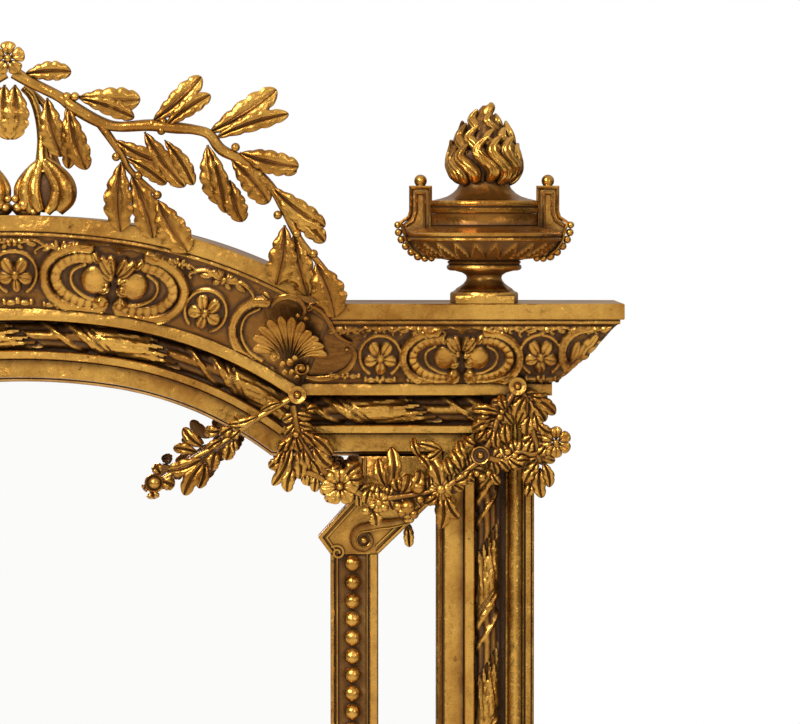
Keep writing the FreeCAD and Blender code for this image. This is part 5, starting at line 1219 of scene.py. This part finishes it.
def build_garlands(gold_leaf):
    """The hanging flowers and the sprigs beside the arch."""
    place = upright(SWAG)

    def at(x, y):
        return seen(x, y, SWAG - 6)
    swag, sprig = Form(), Form()
    for path, wide in zip(GARLAND_STEMS, (8, 9, 15, 13, 14, 10)):
        tube(swag, [at(*p) for p in path], 4.4, place, out=1, steps=5, shade=0.3)
        # A flat bulge under the leaves, darkened as wax and as painted shade.
        line = curve([at(*p) for p in path], 5)
        bulge = wide * (0.75 + 0.25 * np.cos(np.arange(len(line)) * 1.7))
        bulge[[0, -1]] = wide * 0.35
        tube(swag, line, bulge, place, out=-3.5, steps=1, sides=12, shade=0.62, flat=0.34)
    for k, (x0, y0, x1, y1, wide) in enumerate(GARLAND_LEAVES):
        leaf(swag, at(x0, y0), at(x1, y1), wide * PIXEL * 1.2, 7, place,
             out=(k * 5) % 4 * 1.6, lobes=3, notch=0.15, lift=4, droop=4, groove=0.26,
             bend=0.07 * (-1) ** k, rows=18)
    rng = np.random.default_rng(sizes().seed)
    for path in GARLAND_STEMS:
        line = curve(path, 3)
        for k in range(2, len(line) - 1, 2):
            ahead = line[k + 1] - line[k]
            for sign in (-1, 1):
                turn = math.atan2(ahead[1], ahead[0]) + sign * (0.9 + 0.5 * rng.random())
                size = 13 + 5 * rng.random()
                end = line[k] + size * np.array([math.cos(turn), math.sin(turn)])
                leaf(swag, at(*line[k]), at(*end), 10.5 * PIXEL, 5, place, out=-1.5, lobes=3,
                     notch=0.15, lift=2, droop=3, groove=0.26, rows=12)
    for x, y, radius in GARLAND_BALLS:
        ball(swag, at(x, y), radius * PIXEL, place, out=4, squash=0.9)
    flower(swag, at(339.9, 487), 24, place, out=3, petals=6, turn=62, thick=5, boss=0.2)
    flower(swag, at(441, 490), 15, place, out=2, petals=7, turn=20, thick=4, boss=0.3)
    flower(swag, at(556.5, 442.5), 20, place, out=1, petals=6, turn=90, thick=6, boss=0.22)
    flower(swag, at(378.8, 502.7), 14, place, out=2, petals=5, turn=50, thick=6, boss=0.34)
    both(swag, "garland", gold_leaf, angle=60)
    tube(sprig, [at(*p) for p in SPRIG_STEM], 4.0, place, out=0, steps=5, shade=0.1)
    for k, (x0, y0, x1, y1, wide) in enumerate(SPRIG_LEAVES):
        leaf(sprig, at(x0, y0), at(x1, y1), wide * PIXEL * 1.06, 7, place,
             out=(k * 5) % 4 * 1.4, lobes=3, notch=0.15, lift=4, droop=4, groove=0.26,
             bend=0.06 * (-1) ** k, rows=18)
    centre = at(153.7, 483.5)
    rose = turned_form([(3, -4, 0.8), (11, -4, 0.6), (12, 0, 0.3), (12.4, 6, 0.1), (11.2, 7.8, 0),
                        (9.6, 6.4, 0.6), (8.6, 4.6, 1.0), (7.2, 6.2, 0.2), (4.4, 8.6, 0.0),
                        (1.2, 9.8, 0.0)], (centre[0], SWAG, centre[1]), cols=32, up=False)
    sprig.include(rose)
    both(sprig, "sprig", gold_leaf, angle=60)


KNOBS = [(351.9, 1683.5, 0), (629, 1694.5, 0), (582, 1607.5, 1)]


def build_knobs(gold_leaf):
    """The turned knobs that the foliage hangs from."""
    made = Form()
    disc = [(3, 0, 0.9), (9.5, 0, 0.8), (10.4, 8, 0.7), (11.4, 14, 0.3), (11.7, 16.4, 0.0),
            (11.0, 17.6, 0.0), (9.4, 17.4, 0.1), (5.2, 16.2, 0.3), (4.4, 15.8, 0.9),
            (3.8, 17.6, 0.3), (2.8, 19.8, 0.0), (1, 20.8, 0.0)]
    ring = [(3, 0, 0.9), (9.5, 0, 0.8), (10.4, 8, 0.7), (11.4, 14, 0.3), (11.7, 16.6, 0.0),
            (11.0, 18.0, 0.0), (9.8, 17.6, 0.2), (9.0, 14.8, 1.0), (5.4, 14.6, 0.9),
            (4.6, 15.8, 0.5), (3.8, 18.4, 0.0), (1.2, 20.4, 0.0)]
    for x, z, kind in KNOBS:
        made.include(turned_form(ring if kind else disc, (x, -71, z), cols=36, up=False))
    piece(doubled(made), "rosette_knobs_gilt", gold_leaf, nodes=["rosette_knobs"], angle=45)


# ---------------------------------------------------------------- frieze

def over_path(u, v, points):
    """Distance from every place to a path, and how far along it the nearest point lies."""
    points = np.asarray(points, float)
    runs = np.diff(points, axis=0)
    spans = np.linalg.norm(runs, axis=1)
    gone = np.concatenate([[0], np.cumsum(spans)])
    best, share = np.full(u.shape, 1e9), np.zeros(u.shape)
    for start, run, size, before in zip(points, runs, spans, gone):
        t = np.clip(((u - start[0]) * run[0] + (v - start[1]) * run[1]) / max(size * size, 1e-9),
                    0, 1)
        far = np.hypot(u - start[0] - t * run[0], v - start[1] - t * run[1])
        near = far < best
        best = np.where(near, far, best)
        share = np.where(near, (before + t * size) / gone[-1], share)
    return best, share


def raised(far, half, high, power=0.5):
    """A rounded ridge over a distance."""
    return high * np.clip(1 - (far / half) ** 2, 0, 1) ** power


def strap(far, half, high):
    """A flat strap with two thin raised edges."""
    rim = np.exp(-((far - half * 0.80) / (half * 0.16)) ** 2)
    return np.clip((half - far) / (half * 0.18), 0, 1) * high * (0.66 + 0.34 * rim)


def leaflet(u, v, x0, y0, x1, y1, wide, high):
    """A small leaf or petal, hollowed along its middle."""
    dx, dy = x1 - x0, y1 - y0
    size = math.hypot(dx, dy)
    t = ((u - x0) * dx + (v - y0) * dy) / (size * size)
    s = ((v - y0) * dx - (u - x0) * dy) / size
    inside = np.clip(t, 0.001, 0.999)
    half = wide / 2 * (inside ** 0.6 * (1 - inside) ** 0.4) / 0.51
    k = np.clip(1 - (s / half) ** 2, 0, 1)
    level = high * (0.45 + 0.55 * np.sin(math.pi * inside ** 0.8)) * k ** 0.45
    level = level * (1 - 0.38 * np.exp(-(s / (0.22 * half)) ** 2))
    return np.where((t > 0) & (t < 1), level, 0)


def boss(u, v, x, y, radius, high):
    """A round boss."""
    return high * np.clip(1 - ((u - x) ** 2 + (v - y) ** 2) / radius ** 2, 0, 1) ** 0.5


def rosette(u, v):
    """A five-petalled flower in an oval, open below."""
    oval = np.abs(np.hypot(u, v - 1) - 20.5)
    shut = np.abs(np.arctan2(v, u) + math.pi / 2) > 0.55
    high = raised(oval, 2.1, 3.4) * shut
    for k in range(5):
        angle = math.radians(-90 + 72 * k)
        high = np.maximum(high, leaflet(u, v, 2.5 * math.cos(angle), 2.5 * math.sin(angle),
                                        17 * math.cos(angle), 17 * math.sin(angle), 12.5, 6.8))
    return np.maximum(high, boss(u, v, 0, 0, 4.6, 8.4))


CARTOUCHE_FRAME = [(7.5, -13), (5, -17), (8, -21), (17, -25), (34, -23.5), (48, -18), (56, -9),
                   (58.4, 1), (57, 9), (50, 18), (38, 25), (24, 27)]
CARTOUCHE_EDGE = [(12, -19), (22, -20), (36, -16), (45, -9), (49, 0), (45, 9), (35, 16), (23, 18)]
CARTOUCHE_INNER = [(10, -14), (18, -15), (26, -12), (33, -7), (36, 0), (34, 7), (26, 12)]


def cartouche(u, v):
    """Two facing C-scrolls with a fluted edge, two globes and a tuft of leaves."""
    high = np.zeros(u.shape)
    for sign in (-1, 1):
        su = u * sign
        far, _ = over_path(su, v, curve(CARTOUCHE_FRAME, 4))
        high = np.maximum(high, strap(far, 3.9, 5.6))
        far, along = over_path(su, v, curve(CARTOUCHE_EDGE, 4))
        flute = 0.62 + 0.38 * np.abs(np.cos(math.pi * along * 13)) ** 0.6
        high = np.maximum(high, raised(far, 4.6, 4.4, 0.35) * flute)
        far, _ = over_path(su, v, curve(CARTOUCHE_INNER, 4))
        high = np.maximum(high, raised(far, 1.7, 3.4))
        high = np.maximum(high, boss(su, v, 7.4, -15, 4.6, 7.6))
        far, _ = over_path(su, v, [(3, 31), (10, 33), (20, 31.5), (31, 27)])
        high = np.maximum(high, raised(far, 2.5, 4.8))
        high = np.maximum(high, boss(su, v, 16.5, 1.4, 11.4, 9.6))
        for x0, y0, x1, y1, wide in ((2, 7, 15, 20, 9), (1, 8, 7, 22, 8), (3, 3, 13, 8, 6),
                                     (2, -2, 12, -7, 6), (14, 17, 22, 23, 6), (7, -11, 14, -16, 5)):
            high = np.maximum(high, leaflet(su, v, x0, y0, x1, y1, wide, 9.4))
    for x, y, radius in ((-3.4, 7, 3.4), (4, 5.2, 3.2), (7, -0.5, 3.2), (0, 30.5, 3.4),
                         (-6, 1, 2.6)):
        high = np.maximum(high, boss(u, v, x, y, radius, 9.8))
    return high


def spray(u, v):
    """A bud between two leafy scrolls."""
    high = boss(u, v, 0, 0, 3.4, 6.4)
    for sign in (-1, 1):
        su = u * sign
        for x0, y0, x1, y1, wide in ((1.5, 0.5, 13, 3.5, 6), (1, 2, 7, 9, 5.5),
                                     (10, 1, 22, -3, 5), (2, -1, 9, -6, 5)):
            high = np.maximum(high, leaflet(su, v, x0, y0, x1, y1, wide, 5.2))
        far, _ = over_path(su, v, curve([(8, 0), (16, 3), (25, 0), (31, -5), (29, -8)], 3))
        high = np.maximum(high, raised(far, 1.6, 3.4))
    return high


def posy(u, v):
    """Three small buds with two leaves."""
    high = np.maximum(boss(u, v, -3, 0, 3.2, 5.4), boss(u, v, 3.2, 0.4, 3.2, 5.4))
    high = np.maximum(high, boss(u, v, 0, -2.4, 2.8, 5.8))
    for sign in (-1, 1):
        high = np.maximum(high, leaflet(u * sign, v, 4, -1, 16, -2.5, 5.5, 4.2))
        high = np.maximum(high, boss(u * sign, v, 17, -1, 3.0, 4.6))
    return high


WING_MOTIFS = [  # motif, x, y in the photograph, turn in degrees, size
    ("rosette", 380.4, 356, 0, 1.0), ("cartouche", 461.5, 357, 0, 1.0),
    ("rosette", 540.6, 355, 0, 1.0), ("spray", 419, 328, 0, 0.85), ("spray", 380, 328, 0, 0.7),
    ("spray", 506, 328, 0, 0.75), ("spray", 547, 328, 0, 0.9), ("posy", 380, 377.5, 0, 0.85),
    ("posy", 420, 378, 0, 0.7), ("posy", 505, 378, 0, 0.7), ("posy", 541, 377, 0, 0.85),
    ("spray", 344, 330, 0, 0.7), ("posy", 345, 374, 0, 0.8), ("spray", 592, 329, 0, 0.7)]
ARCH_MOTIFS = [
    ("rosette", 15.2, 273, 0, 1.06), ("spray", 15.2, 241, 0, 1.0), ("posy", 15.2, 300, 0, 0.95),
    ("cartouche", 114.4, 283, 9.5, 1.22), ("spray", 60, 247.5, 4, 0.8), ("posy", 58, 303, 4, 0.8),
    ("rosette", 205.6, 310.8, 21, 1.02), ("spray", 224, 279, 20, 1.1),
    ("posy", 194, 337, 20, 1.0), ("spray", 180, 263, 16, 0.6), ("posy", 165, 327, 15, 0.7),
    ("posy", 232, 350, 27, 0.7)]
SHELL_FRAME = [(273, 372), (259, 365), (245, 354), (235, 340), (233, 325), (240, 310), (254, 301),
               (268, 301)]
SHELL_INNER = [(262, 360), (250, 351), (242.5, 338), (242, 325), (248, 314), (260, 308)]
WING_SCROLL = [(566, 366), (562, 352), (566, 338), (577, 329), (592, 325)]
MOTIFS = {"rosette": rosette, "cartouche": cartouche, "spray": spray, "posy": posy}


def relief(x, y, motifs):
    """The height of the carved work at photographed places, in millimetres."""
    high = np.zeros(x.shape)
    for name, cx, cy, turn, size in motifs:
        near = (np.abs(x - cx) < 75 * size) & (np.abs(y - cy) < 42 * size)
        if not near.any():
            continue
        c, s = math.cos(math.radians(turn)), math.sin(math.radians(turn))
        dx, dy = (x[near] - cx) / size, (y[near] - cy) / size
        level = MOTIFS[name](dx * c + dy * s, dx * s - dy * c) * (0.55 + 0.45 * size)
        high[near] = np.maximum(high[near], level)
    return high * 1.15


def blurred(field, cells):
    """A field averaged over a square of cells."""
    out = field
    for axis in (0, 1):
        pad = [(0, 0), (0, 0)]
        pad[axis] = (cells + 1, cells)
        total = np.cumsum(np.pad(out, pad, mode="edge"), axis=axis)
        hi = np.take(total, range(2 * cells + 1, total.shape[axis]), axis=axis)
        lo = np.take(total, range(0, total.shape[axis] - 2 * cells - 1), axis=axis)
        out = (hi - lo) / (2 * cells + 1)
    return out


def carved(ground, normal, high, first_free=0):
    """A slab of carved work over a ground, closed at the back."""
    rng = np.random.default_rng(sizes().seed)
    pitted = high + 0.18 * blurred(rng.standard_normal(high.shape), 1)
    edge = np.ones(high.shape)
    edge[[0, -1], :] = 0
    edge[:, [0, -1][first_free:]] = 0
    pitted = np.where(edge > 0, pitted, 0.2) + 0.3 * edge
    front = ground + normal * pitted[..., None]
    back = np.linspace(high.shape[1] - 1, 0, 16).astype(int)
    ends = (ground - normal * 1.5)[:, back]
    # Painted shade: the ground is darker beside the relief and the crests lighter; the back is
    # dark.
    deep = np.clip(blurred(high, 5) - high, -4, 4)
    shade = np.clip(0.50 + deep * 0.36 - 0.12 * high, 0.0, 1.0)
    shade = np.concatenate([shade, np.full((len(shade), len(back)), 0.9)], 1)
    made = Form()
    rings(made, np.concatenate([front, ends], 1), shade)
    return made


def wing_relief():
    """The carving on the right wing's frieze: its front and its return."""
    rise = np.linspace(CAP + 2.5, FRIEZE_WING - 2.5, 84)[:, None]
    cols = np.linspace(0, 1, 250)[None, :]
    lead = depth = frieze_depth(rise, FRIEZE_WING)
    up = SIGHT_Z + rise
    start, end = mitre_x(up) + 2, RETURN_X - depth - 2.0
    across = start + (end - start) * cols
    depth, up = depth + 0 * cols, up + 0 * cols
    x, y = pixel(across, up, depth)
    high = relief(x, y, WING_MOTIFS)
    far, _ = over_path(x, y, curve(WING_SCROLL, 4))
    high = np.maximum(high, strap(far, 4.4, 5.2))
    for x0, y0, x1, y1, wide in ((571, 362, 579, 341, 9), (577, 360, 590, 338, 9),
                                 (570, 372, 579, 366, 7), (585, 348, 598, 334, 8),
                                 (600, 330, 612, 324, 7)):
        high = np.maximum(high, leaflet(x, -y, x0, -y0, x1, -y1, wide, 6))
    normal = np.zeros(across.shape + (3,))
    normal[..., 1], normal[..., 2] = -0.705, -0.709
    front = carved(np.stack([across, depth, up], -1), normal, high)

    back = np.linspace(0, 1, 150)[None, :]
    side = RETURN_X - lead
    deep = lead + 2 + (WALL - 4 - lead) * back
    u, v = (deep + 30) / PIXEL, (rise - CAP - 38) / PIXEL
    high = cartouche(u * 1.02 + 0 * v, v + 0 * u)
    for middle in (-58, 58):
        high = np.maximum(high, rosette(u - middle + 0 * v, v + 0 * u))
    sideways = np.zeros(deep.shape + (3,))
    sideways[..., 0], sideways[..., 2] = 0.705, -0.709
    ground = np.stack([side + 0 * deep, deep, SIGHT_Z + rise + 0 * deep], -1)
    front.include(carved(ground, sideways, high * 0.8))
    return front


def arch_relief():
    """The carving on the arch's frieze."""
    rise = np.linspace(CAP + 2.5, FRIEZE_ARCH - 2.5, 96)
    shares = np.linspace(0, 0.985, 400)
    ground, outer = (np.array([[arch_point(o + more, frieze_depth(o, FRIEZE_ARCH), s)
                                for s in shares] for o in rise]) for more in (0, 1))
    radial = outer - ground
    radial /= np.linalg.norm(radial, axis=-1)[..., None]
    normal = radial * -0.647 + np.array([0, -0.763, 0])
    x, y = pixel(ground[..., 0], ground[..., 2], ground[..., 1])
    high = relief(x, y, ARCH_MOTIFS)
    far, _ = over_path(x, y, curve(SHELL_FRAME, 4))
    high = np.maximum(high, strap(far, 4.6, 5.4))
    far, _ = over_path(x, y, curve(SHELL_INNER, 4))
    high = np.maximum(high, raised(far, 1.8, 3.4))
    return carved(ground, normal, high, 1)


def build_frieze(gold_leaf):
    """The three carved friezes."""
    both(wing_relief(), "frieze_carving", gold_leaf, angle=70)
    half = arch_relief()
    for side, form in (("right", half), ("left", half.mirrored())):
        piece(form, f"{side}_arch_frieze_gilt", gold_leaf, nodes=["arch_frieze_carving"], angle=70)


def on_slope(u, v, w):
    """Carries across, up and out to the sloping frieze, seen square from the front."""
    u, v, w = np.broadcast_arrays(u, v, w)
    return np.stack([u, -71 - (v - SIGHT_Z - CAP) * 0.93 - w, v], -1)


def slope_at(x, y):
    """A photographed place on the sloping frieze, as across and up."""
    depth = -110.0
    for _ in range(3):
        across, up = seen(x, y, depth)
        depth = -71 - (up - SIGHT_Z - CAP) * 0.93
    return across, up


def build_shells(gold_leaf):
    """The shells over the arch's mitres, with their straps and leaves."""
    made = Form()
    base = np.array(slope_at(289.5, 362))
    for k in range(11):
        angle = math.radians(158 - 14.6 * k)
        size = PIXEL * (39 + 9 * math.sin(math.pi * min(k / 7, 1)) ** 0.7)
        way = np.array([math.cos(angle), math.sin(angle)])
        leaf(made, base + way * 8, base + way * size, 13.5, 10, on_slope, out=2.5 + k % 2, lobes=1,
             notch=0.0, belly=0.8, lift=2.5, droop=-4.0, groove=0.0, rows=16,
             bend=0.12 * (k - 5) / 5)
    for x, y, r, turn in ((274.4, 356.8, 7.2, 150), (301, 368.7, 9.6, 30)):
        centre = slope_at(x, y)
        band(made, spiral(centre, r, 2.2, -1.4, turn, 22),
             [(-1.8, -3, 0.8), (-1.4, 4.4, 0.0), (1.4, 4.4, 0.0), (1.8, -3, 0.8)], on_slope, out=4)
        ball(made, centre, 3.6, on_slope, out=7)
    for x, y, r in ((283, 364, 5), (290, 362, 5.4), (295, 358, 4.4), (285, 372, 4.4),
                    (292, 372, 4.6), (297, 377, 3.6)):
        ball(made, slope_at(x, y), r, on_slope, out=6)
    rim = [(-3.6, -4, 0.8), (-3.4, 3.4, 0.2), (-2.6, 4.6, 0.0), (-1.2, 3.2, 0.4), (1.6, 2.8, 0.3),
           (2.8, 4.4, 0.0), (3.6, 3.4, 0.2), (3.8, -4, 0.8)]
    curl = curve([slope_at(*p) for p in ((272, 306), (279, 299), (290, 297), (300, 301),
                                         (305, 310), (301, 318), (295, 316))], 5)
    band(made, curl, rim, on_slope, out=3, taper=[0.5, 1, 1, 0.9, 0.7, 0.5, 0.4])
    right = curve([slope_at(*p) for p in ((306, 377), (320, 379), (337, 376), (350, 367),
                                          (355, 355), (349, 345), (340, 343))], 5)
    band(made, right, rim, on_slope, out=1, taper=[0.6, 1, 1, 1, 0.9, 0.7, 0.5])
    down = curve([slope_at(*p) for p in ((309, 305), (320, 311), (328, 320), (334, 331),
                                         (342, 339), (352, 343))], 5)
    band(made, down, rim, on_slope, out=7, taper=[0.4, 0.8, 0.9, 0.9, 0.8, 0.4])
    for x, y, r in ((298, 316, 3.4), (306, 319, 4.0), (347, 350, 3.0)):
        ball(made, slope_at(x, y), r, on_slope, out=5)
    for x0, y0, x1, y1, wide in ((306, 311, 317, 303, 8), (270, 300, 262, 293, 8),
                                 (340, 330, 352, 325, 7)):
        leaf(made, slope_at(x0, y0), slope_at(x1, y1), wide * PIXEL, 5, on_slope, out=2, lobes=3,
             lift=2, droop=2, groove=0.25, rows=14)
    both(made, "corner_shell", gold_leaf, angle=60)


# ---------------------------------------------------------------- stage

def build_stage():
    """Floor, light, room and camera of the picture, none of it part of the mirror."""
    scene = bpy.context.scene
    scene.view_settings.view_transform = "Standard"
    made = bpy.data.meshes.new("studio_floor")
    wide, near, far = 6.0, -7.0, 1.2
    made.from_pydata([(-wide, near, 0), (wide, near, 0), (wide, far, 0), (-wide, far, 0)], [],
                     [(0, 1, 2, 3)])
    material, tree = blank("Painted_plaster_floor")
    place = node(tree, "ShaderNodeTexCoord").outputs["Object"]
    cloud = node(tree, "ShaderNodeTexNoise", Vector=place, Scale=3.0, Detail=4.0).outputs["Fac"]
    paler = node(tree, RANGE, _0=cloud, _1=0.2, _2=0.9).outputs[0]
    shade = node(tree, MIX, COLOUR, _0=paler, _6=colours().floor, _7=linear("#DCDAD5")).outputs[2]
    shader = node(tree, SHADER, Base_Color=shade, Roughness=0.9)
    node(tree, OUTPUT, Surface=shader.outputs[0])
    made.materials.append(material)
    floor = bpy.data.objects.new("studio_floor", made)
    scene.collection.objects.link(floor)

    world = bpy.data.worlds.new("studio")
    world.use_nodes = True
    tree = world.node_tree
    tree.nodes.clear()
    ray = node(tree, "ShaderNodeLightPath").outputs
    way = node(tree, "ShaderNodeTexCoord").outputs["Generated"]
    split = node(tree, "ShaderNodeSeparateXYZ", Vector=way).outputs
    towards = node(tree, "ShaderNodeVectorMath", {"operation": "DOT_PRODUCT"}, _0=way,
                   _1=(-0.05, -0.9936, -0.10)).outputs["Value"]
    white = (1, 1, 1, 1)
    ahead = node(tree, RANGE, _0=towards, _1=0.925, _2=0.975).outputs[0]
    above = node(tree, RANGE, _0=split["Z"], _1=-0.25, _2=0.85).outputs[0]
    room = node(tree, MIX, COLOUR, _0=above, _6=linear("#3A3128"),
                _7=linear("#F4F1EC")).outputs[2]
    shown = node(tree, MIX, COLOUR, _0=ahead, _6=room, _7=white).outputs[2]
    shown = node(tree, MIX, COLOUR, _0=ray["Is Glossy Ray"], _6=room, _7=shown).outputs[2]
    for kind in ("Is Camera Ray", "Is Transmission Ray"):
        shown = node(tree, MIX, COLOUR, _0=ray[kind], _6=shown, _7=white).outputs[2]
    back = node(tree, "ShaderNodeBackground", Color=shown, Strength=1.0)
    node(tree, "ShaderNodeOutputWorld", Surface=back.outputs[0])
    scene.world = world

    def lamp(name, where, aim, wide, power, tint="#FFFFFF"):
        data = bpy.data.lights.new(name, "AREA")
        data.shape, data.size, data.energy = "DISK", wide, power
        data.color = linear(tint)[:3]
        made = bpy.data.objects.new(name, data)
        made.location = where
        made.rotation_euler = (Vector(aim) - Vector(where)).to_track_quat("-Z", "Y").to_euler()
        scene.collection.objects.link(made)
    lamp("key_softbox", (-1.6, -3.4, 4.0), (0.3, 0, 1.7), 2.0, 185)
    lamp("fill_softbox", (2.8, -3.6, 2.6), (0.3, 0, 1.5), 1.8, 26)

    data = bpy.data.cameras.new("photograph")
    data.sensor_width = 36
    data.lens = 36 * (AIM_Y - EYE_Y) / (800 * PIXEL)
    data.clip_end = 50
    camera = bpy.data.objects.new("photograph", data)
    camera.location = (EYE_X * MM, EYE_Y * MM, EYE_Z * MM)
    aim = Vector((EYE_X, AIM_Y, AIM_Z)) * MM - camera.location
    camera.rotation_euler = aim.to_track_quat("-Z", "Y").to_euler()
    scene.collection.objects.link(camera)
    scene.camera = camera


# ---------------------------------------------------------------- operators

def dress_frame():
    """Give every CAD node its finish; the pieces made later stand for most of them."""
    slots = {"mirror_glass": silvering, "bare_pine": pine, "wrought_iron": iron,
             "screw_steel": steel}
    made = {slot: maker() for slot, maker in slots.items()}
    for name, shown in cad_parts.items():
        if "mirror" in name:
            kind = made["mirror_glass"]
        elif "backboard" in name or "batten" in name:
            kind = made["bare_pine"]
        elif name in ("hanger_plates", "left_hanger_ring", "right_hanger_ring"):
            kind = made["wrought_iron"]
        elif name == "back_screws":
            kind = made["screw_steel"]
        else:
            kind = gold()
        shown.data.materials.clear()
        shown.data.materials.append(kind)


class TRUMEAU_OT_stage(bpy.types.Operator):
    """Make the floor, the light and the camera"""
    bl_idname = "trumeau.stage"
    bl_label = "Stage"

    def execute(self, context):
        build_stage()
        return {"FINISHED"}


class TRUMEAU_OT_finishes(bpy.types.Operator):
    """Give the frame's own nodes their finishes"""
    bl_idname = "trumeau.finishes"
    bl_label = "Finishes"

    def execute(self, context):
        dress_frame()
        return {"FINISHED"}


class TRUMEAU_OT_stiles(bpy.types.Operator):
    """Make the moulded uprights"""
    bl_idname = "trumeau.stiles"
    bl_label = "Stiles"

    def execute(self, context):
        build_stiles(gold())
        return {"FINISHED"}


class TRUMEAU_OT_wing_rails(bpy.types.Operator):
    """Make the moulded rails of the wings"""
    bl_idname = "trumeau.wing_rails"
    bl_label = "Wing Rails"

    def execute(self, context):
        build_wing_rails(gold())
        return {"FINISHED"}


class TRUMEAU_OT_arch_rail(bpy.types.Operator):
    """Make the moulded arch"""
    bl_idname = "trumeau.arch_rail"
    bl_label = "Arch Rail"

    def execute(self, context):
        build_arch_rail(gold())
        return {"FINISHED"}


class TRUMEAU_OT_cornices(bpy.types.Operator):
    """Make the sloping cornices"""
    bl_idname = "trumeau.cornices"
    bl_label = "Cornices"

    def execute(self, context):
        build_cornices(gold())
        return {"FINISHED"}


class TRUMEAU_OT_rods(bpy.types.Operator):
    """Make the ribbon-wound rods in the troughs"""
    bl_idname = "trumeau.rods"
    bl_label = "Ribbon Rods"

    def execute(self, context):
        build_rods(gold())
        return {"FINISHED"}


class TRUMEAU_OT_frieze(bpy.types.Operator):
    """Make the carved work of wings and arch"""
    bl_idname = "trumeau.frieze"
    bl_label = "Frieze"

    def execute(self, context):
        build_frieze(gold())
        return {"FINISHED"}


class TRUMEAU_OT_shells(bpy.types.Operator):
    """Make the shells over the mitres"""
    bl_idname = "trumeau.shells"
    bl_label = "Corner Shells"

    def execute(self, context):
        build_shells(gold())
        return {"FINISHED"}


class TRUMEAU_OT_base(bpy.types.Operator):
    """Make the bottom rail and the plinth blocks"""
    bl_idname = "trumeau.base"
    bl_label = "Base"

    def execute(self, context):
        build_base(gold())
        return {"FINISHED"}


class TRUMEAU_OT_bead_rails(bpy.types.Operator):
    """Make the bead rails and their beads"""
    bl_idname = "trumeau.bead_rails"
    bl_label = "Bead Rails"

    def execute(self, context):
        build_bead_rails(gold())
        return {"FINISHED"}


class TRUMEAU_OT_brackets(bpy.types.Operator):
    """Make the scrolled brackets"""
    bl_idname = "trumeau.brackets"
    bl_label = "Brackets"

    def execute(self, context):
        build_brackets(gold())
        return {"FINISHED"}


class TRUMEAU_OT_urns(bpy.types.Operator):
    """Make the flaming urns"""
    bl_idname = "trumeau.urns"
    bl_label = "Urns"

    def execute(self, context):
        build_urns(gold())
        return {"FINISHED"}


class TRUMEAU_OT_bow(bpy.types.Operator):
    """Make the knots and stems under the crest"""
    bl_idname = "trumeau.bow"
    bl_label = "Bow"

    def execute(self, context):
        build_bow(gold())
        return {"FINISHED"}


class TRUMEAU_OT_crest(bpy.types.Operator):
    """Make the laurel branches and their flower"""
    bl_idname = "trumeau.crest"
    bl_label = "Laurel Crest"

    def execute(self, context):
        build_crest(gold())
        return {"FINISHED"}


class TRUMEAU_OT_garlands(bpy.types.Operator):
    """Make the garlands and sprigs"""
    bl_idname = "trumeau.garlands"
    bl_label = "Garlands"

    def execute(self, context):
        build_garlands(gold())
        return {"FINISHED"}


class TRUMEAU_OT_knobs(bpy.types.Operator):
    """Make the turned knobs"""
    bl_idname = "trumeau.knobs"
    bl_label = "Rosette Knobs"

    def execute(self, context):
        build_knobs(gold())
        return {"FINISHED"}


OPERATORS = [
    TRUMEAU_OT_stage, TRUMEAU_OT_finishes, TRUMEAU_OT_stiles,
    TRUMEAU_OT_wing_rails, TRUMEAU_OT_arch_rail, TRUMEAU_OT_cornices,
    TRUMEAU_OT_rods, TRUMEAU_OT_frieze, TRUMEAU_OT_shells,
    TRUMEAU_OT_base, TRUMEAU_OT_bead_rails, TRUMEAU_OT_brackets,
    TRUMEAU_OT_urns, TRUMEAU_OT_bow, TRUMEAU_OT_crest,
    TRUMEAU_OT_garlands, TRUMEAU_OT_knobs]


class TRUMEAU_PT_builder(bpy.types.Panel):
    """Lists the mirror's pieces, its sizes and its colours"""
    bl_idname = "TRUMEAU_PT_builder"
    bl_label = "Trumeau Mirror"
    bl_space_type = "VIEW_3D"
    bl_region_type = "UI"
    bl_category = "Trumeau"

    def draw(self, context):
        for operator in OPERATORS:
            self.layout.operator(operator.bl_idname)
        for values in (sizes(), colours()):
            for name in values.bl_rna.properties.keys():
                if name not in ("rna_type", "name"):
                    self.layout.prop(values, name)


CLASSES = [TrumeauColours, TrumeauSizes, *OPERATORS, TRUMEAU_PT_builder]


def register():
    """Tell Blender of the sizes, the steps and the panel."""
    for kind in CLASSES:
        bpy.utils.register_class(kind)
    bpy.types.Scene.trumeau_colours = bpy.props.PointerProperty(type=TrumeauColours)
    bpy.types.Scene.trumeau_sizes = bpy.props.PointerProperty(type=TrumeauSizes)


def unregister():
    """Take them back out, in the opposite order."""
    del bpy.types.Scene.trumeau_sizes
    del bpy.types.Scene.trumeau_colours
    for kind in reversed(CLASSES):
        bpy.utils.unregister_class(kind)


def main():
    """Build the mirror, one step after the other."""
    register()
    for operator in OPERATORS:
        getattr(bpy.ops.trumeau, operator.bl_idname.split(".")[1])()


if __name__ == "__main__":
    main()
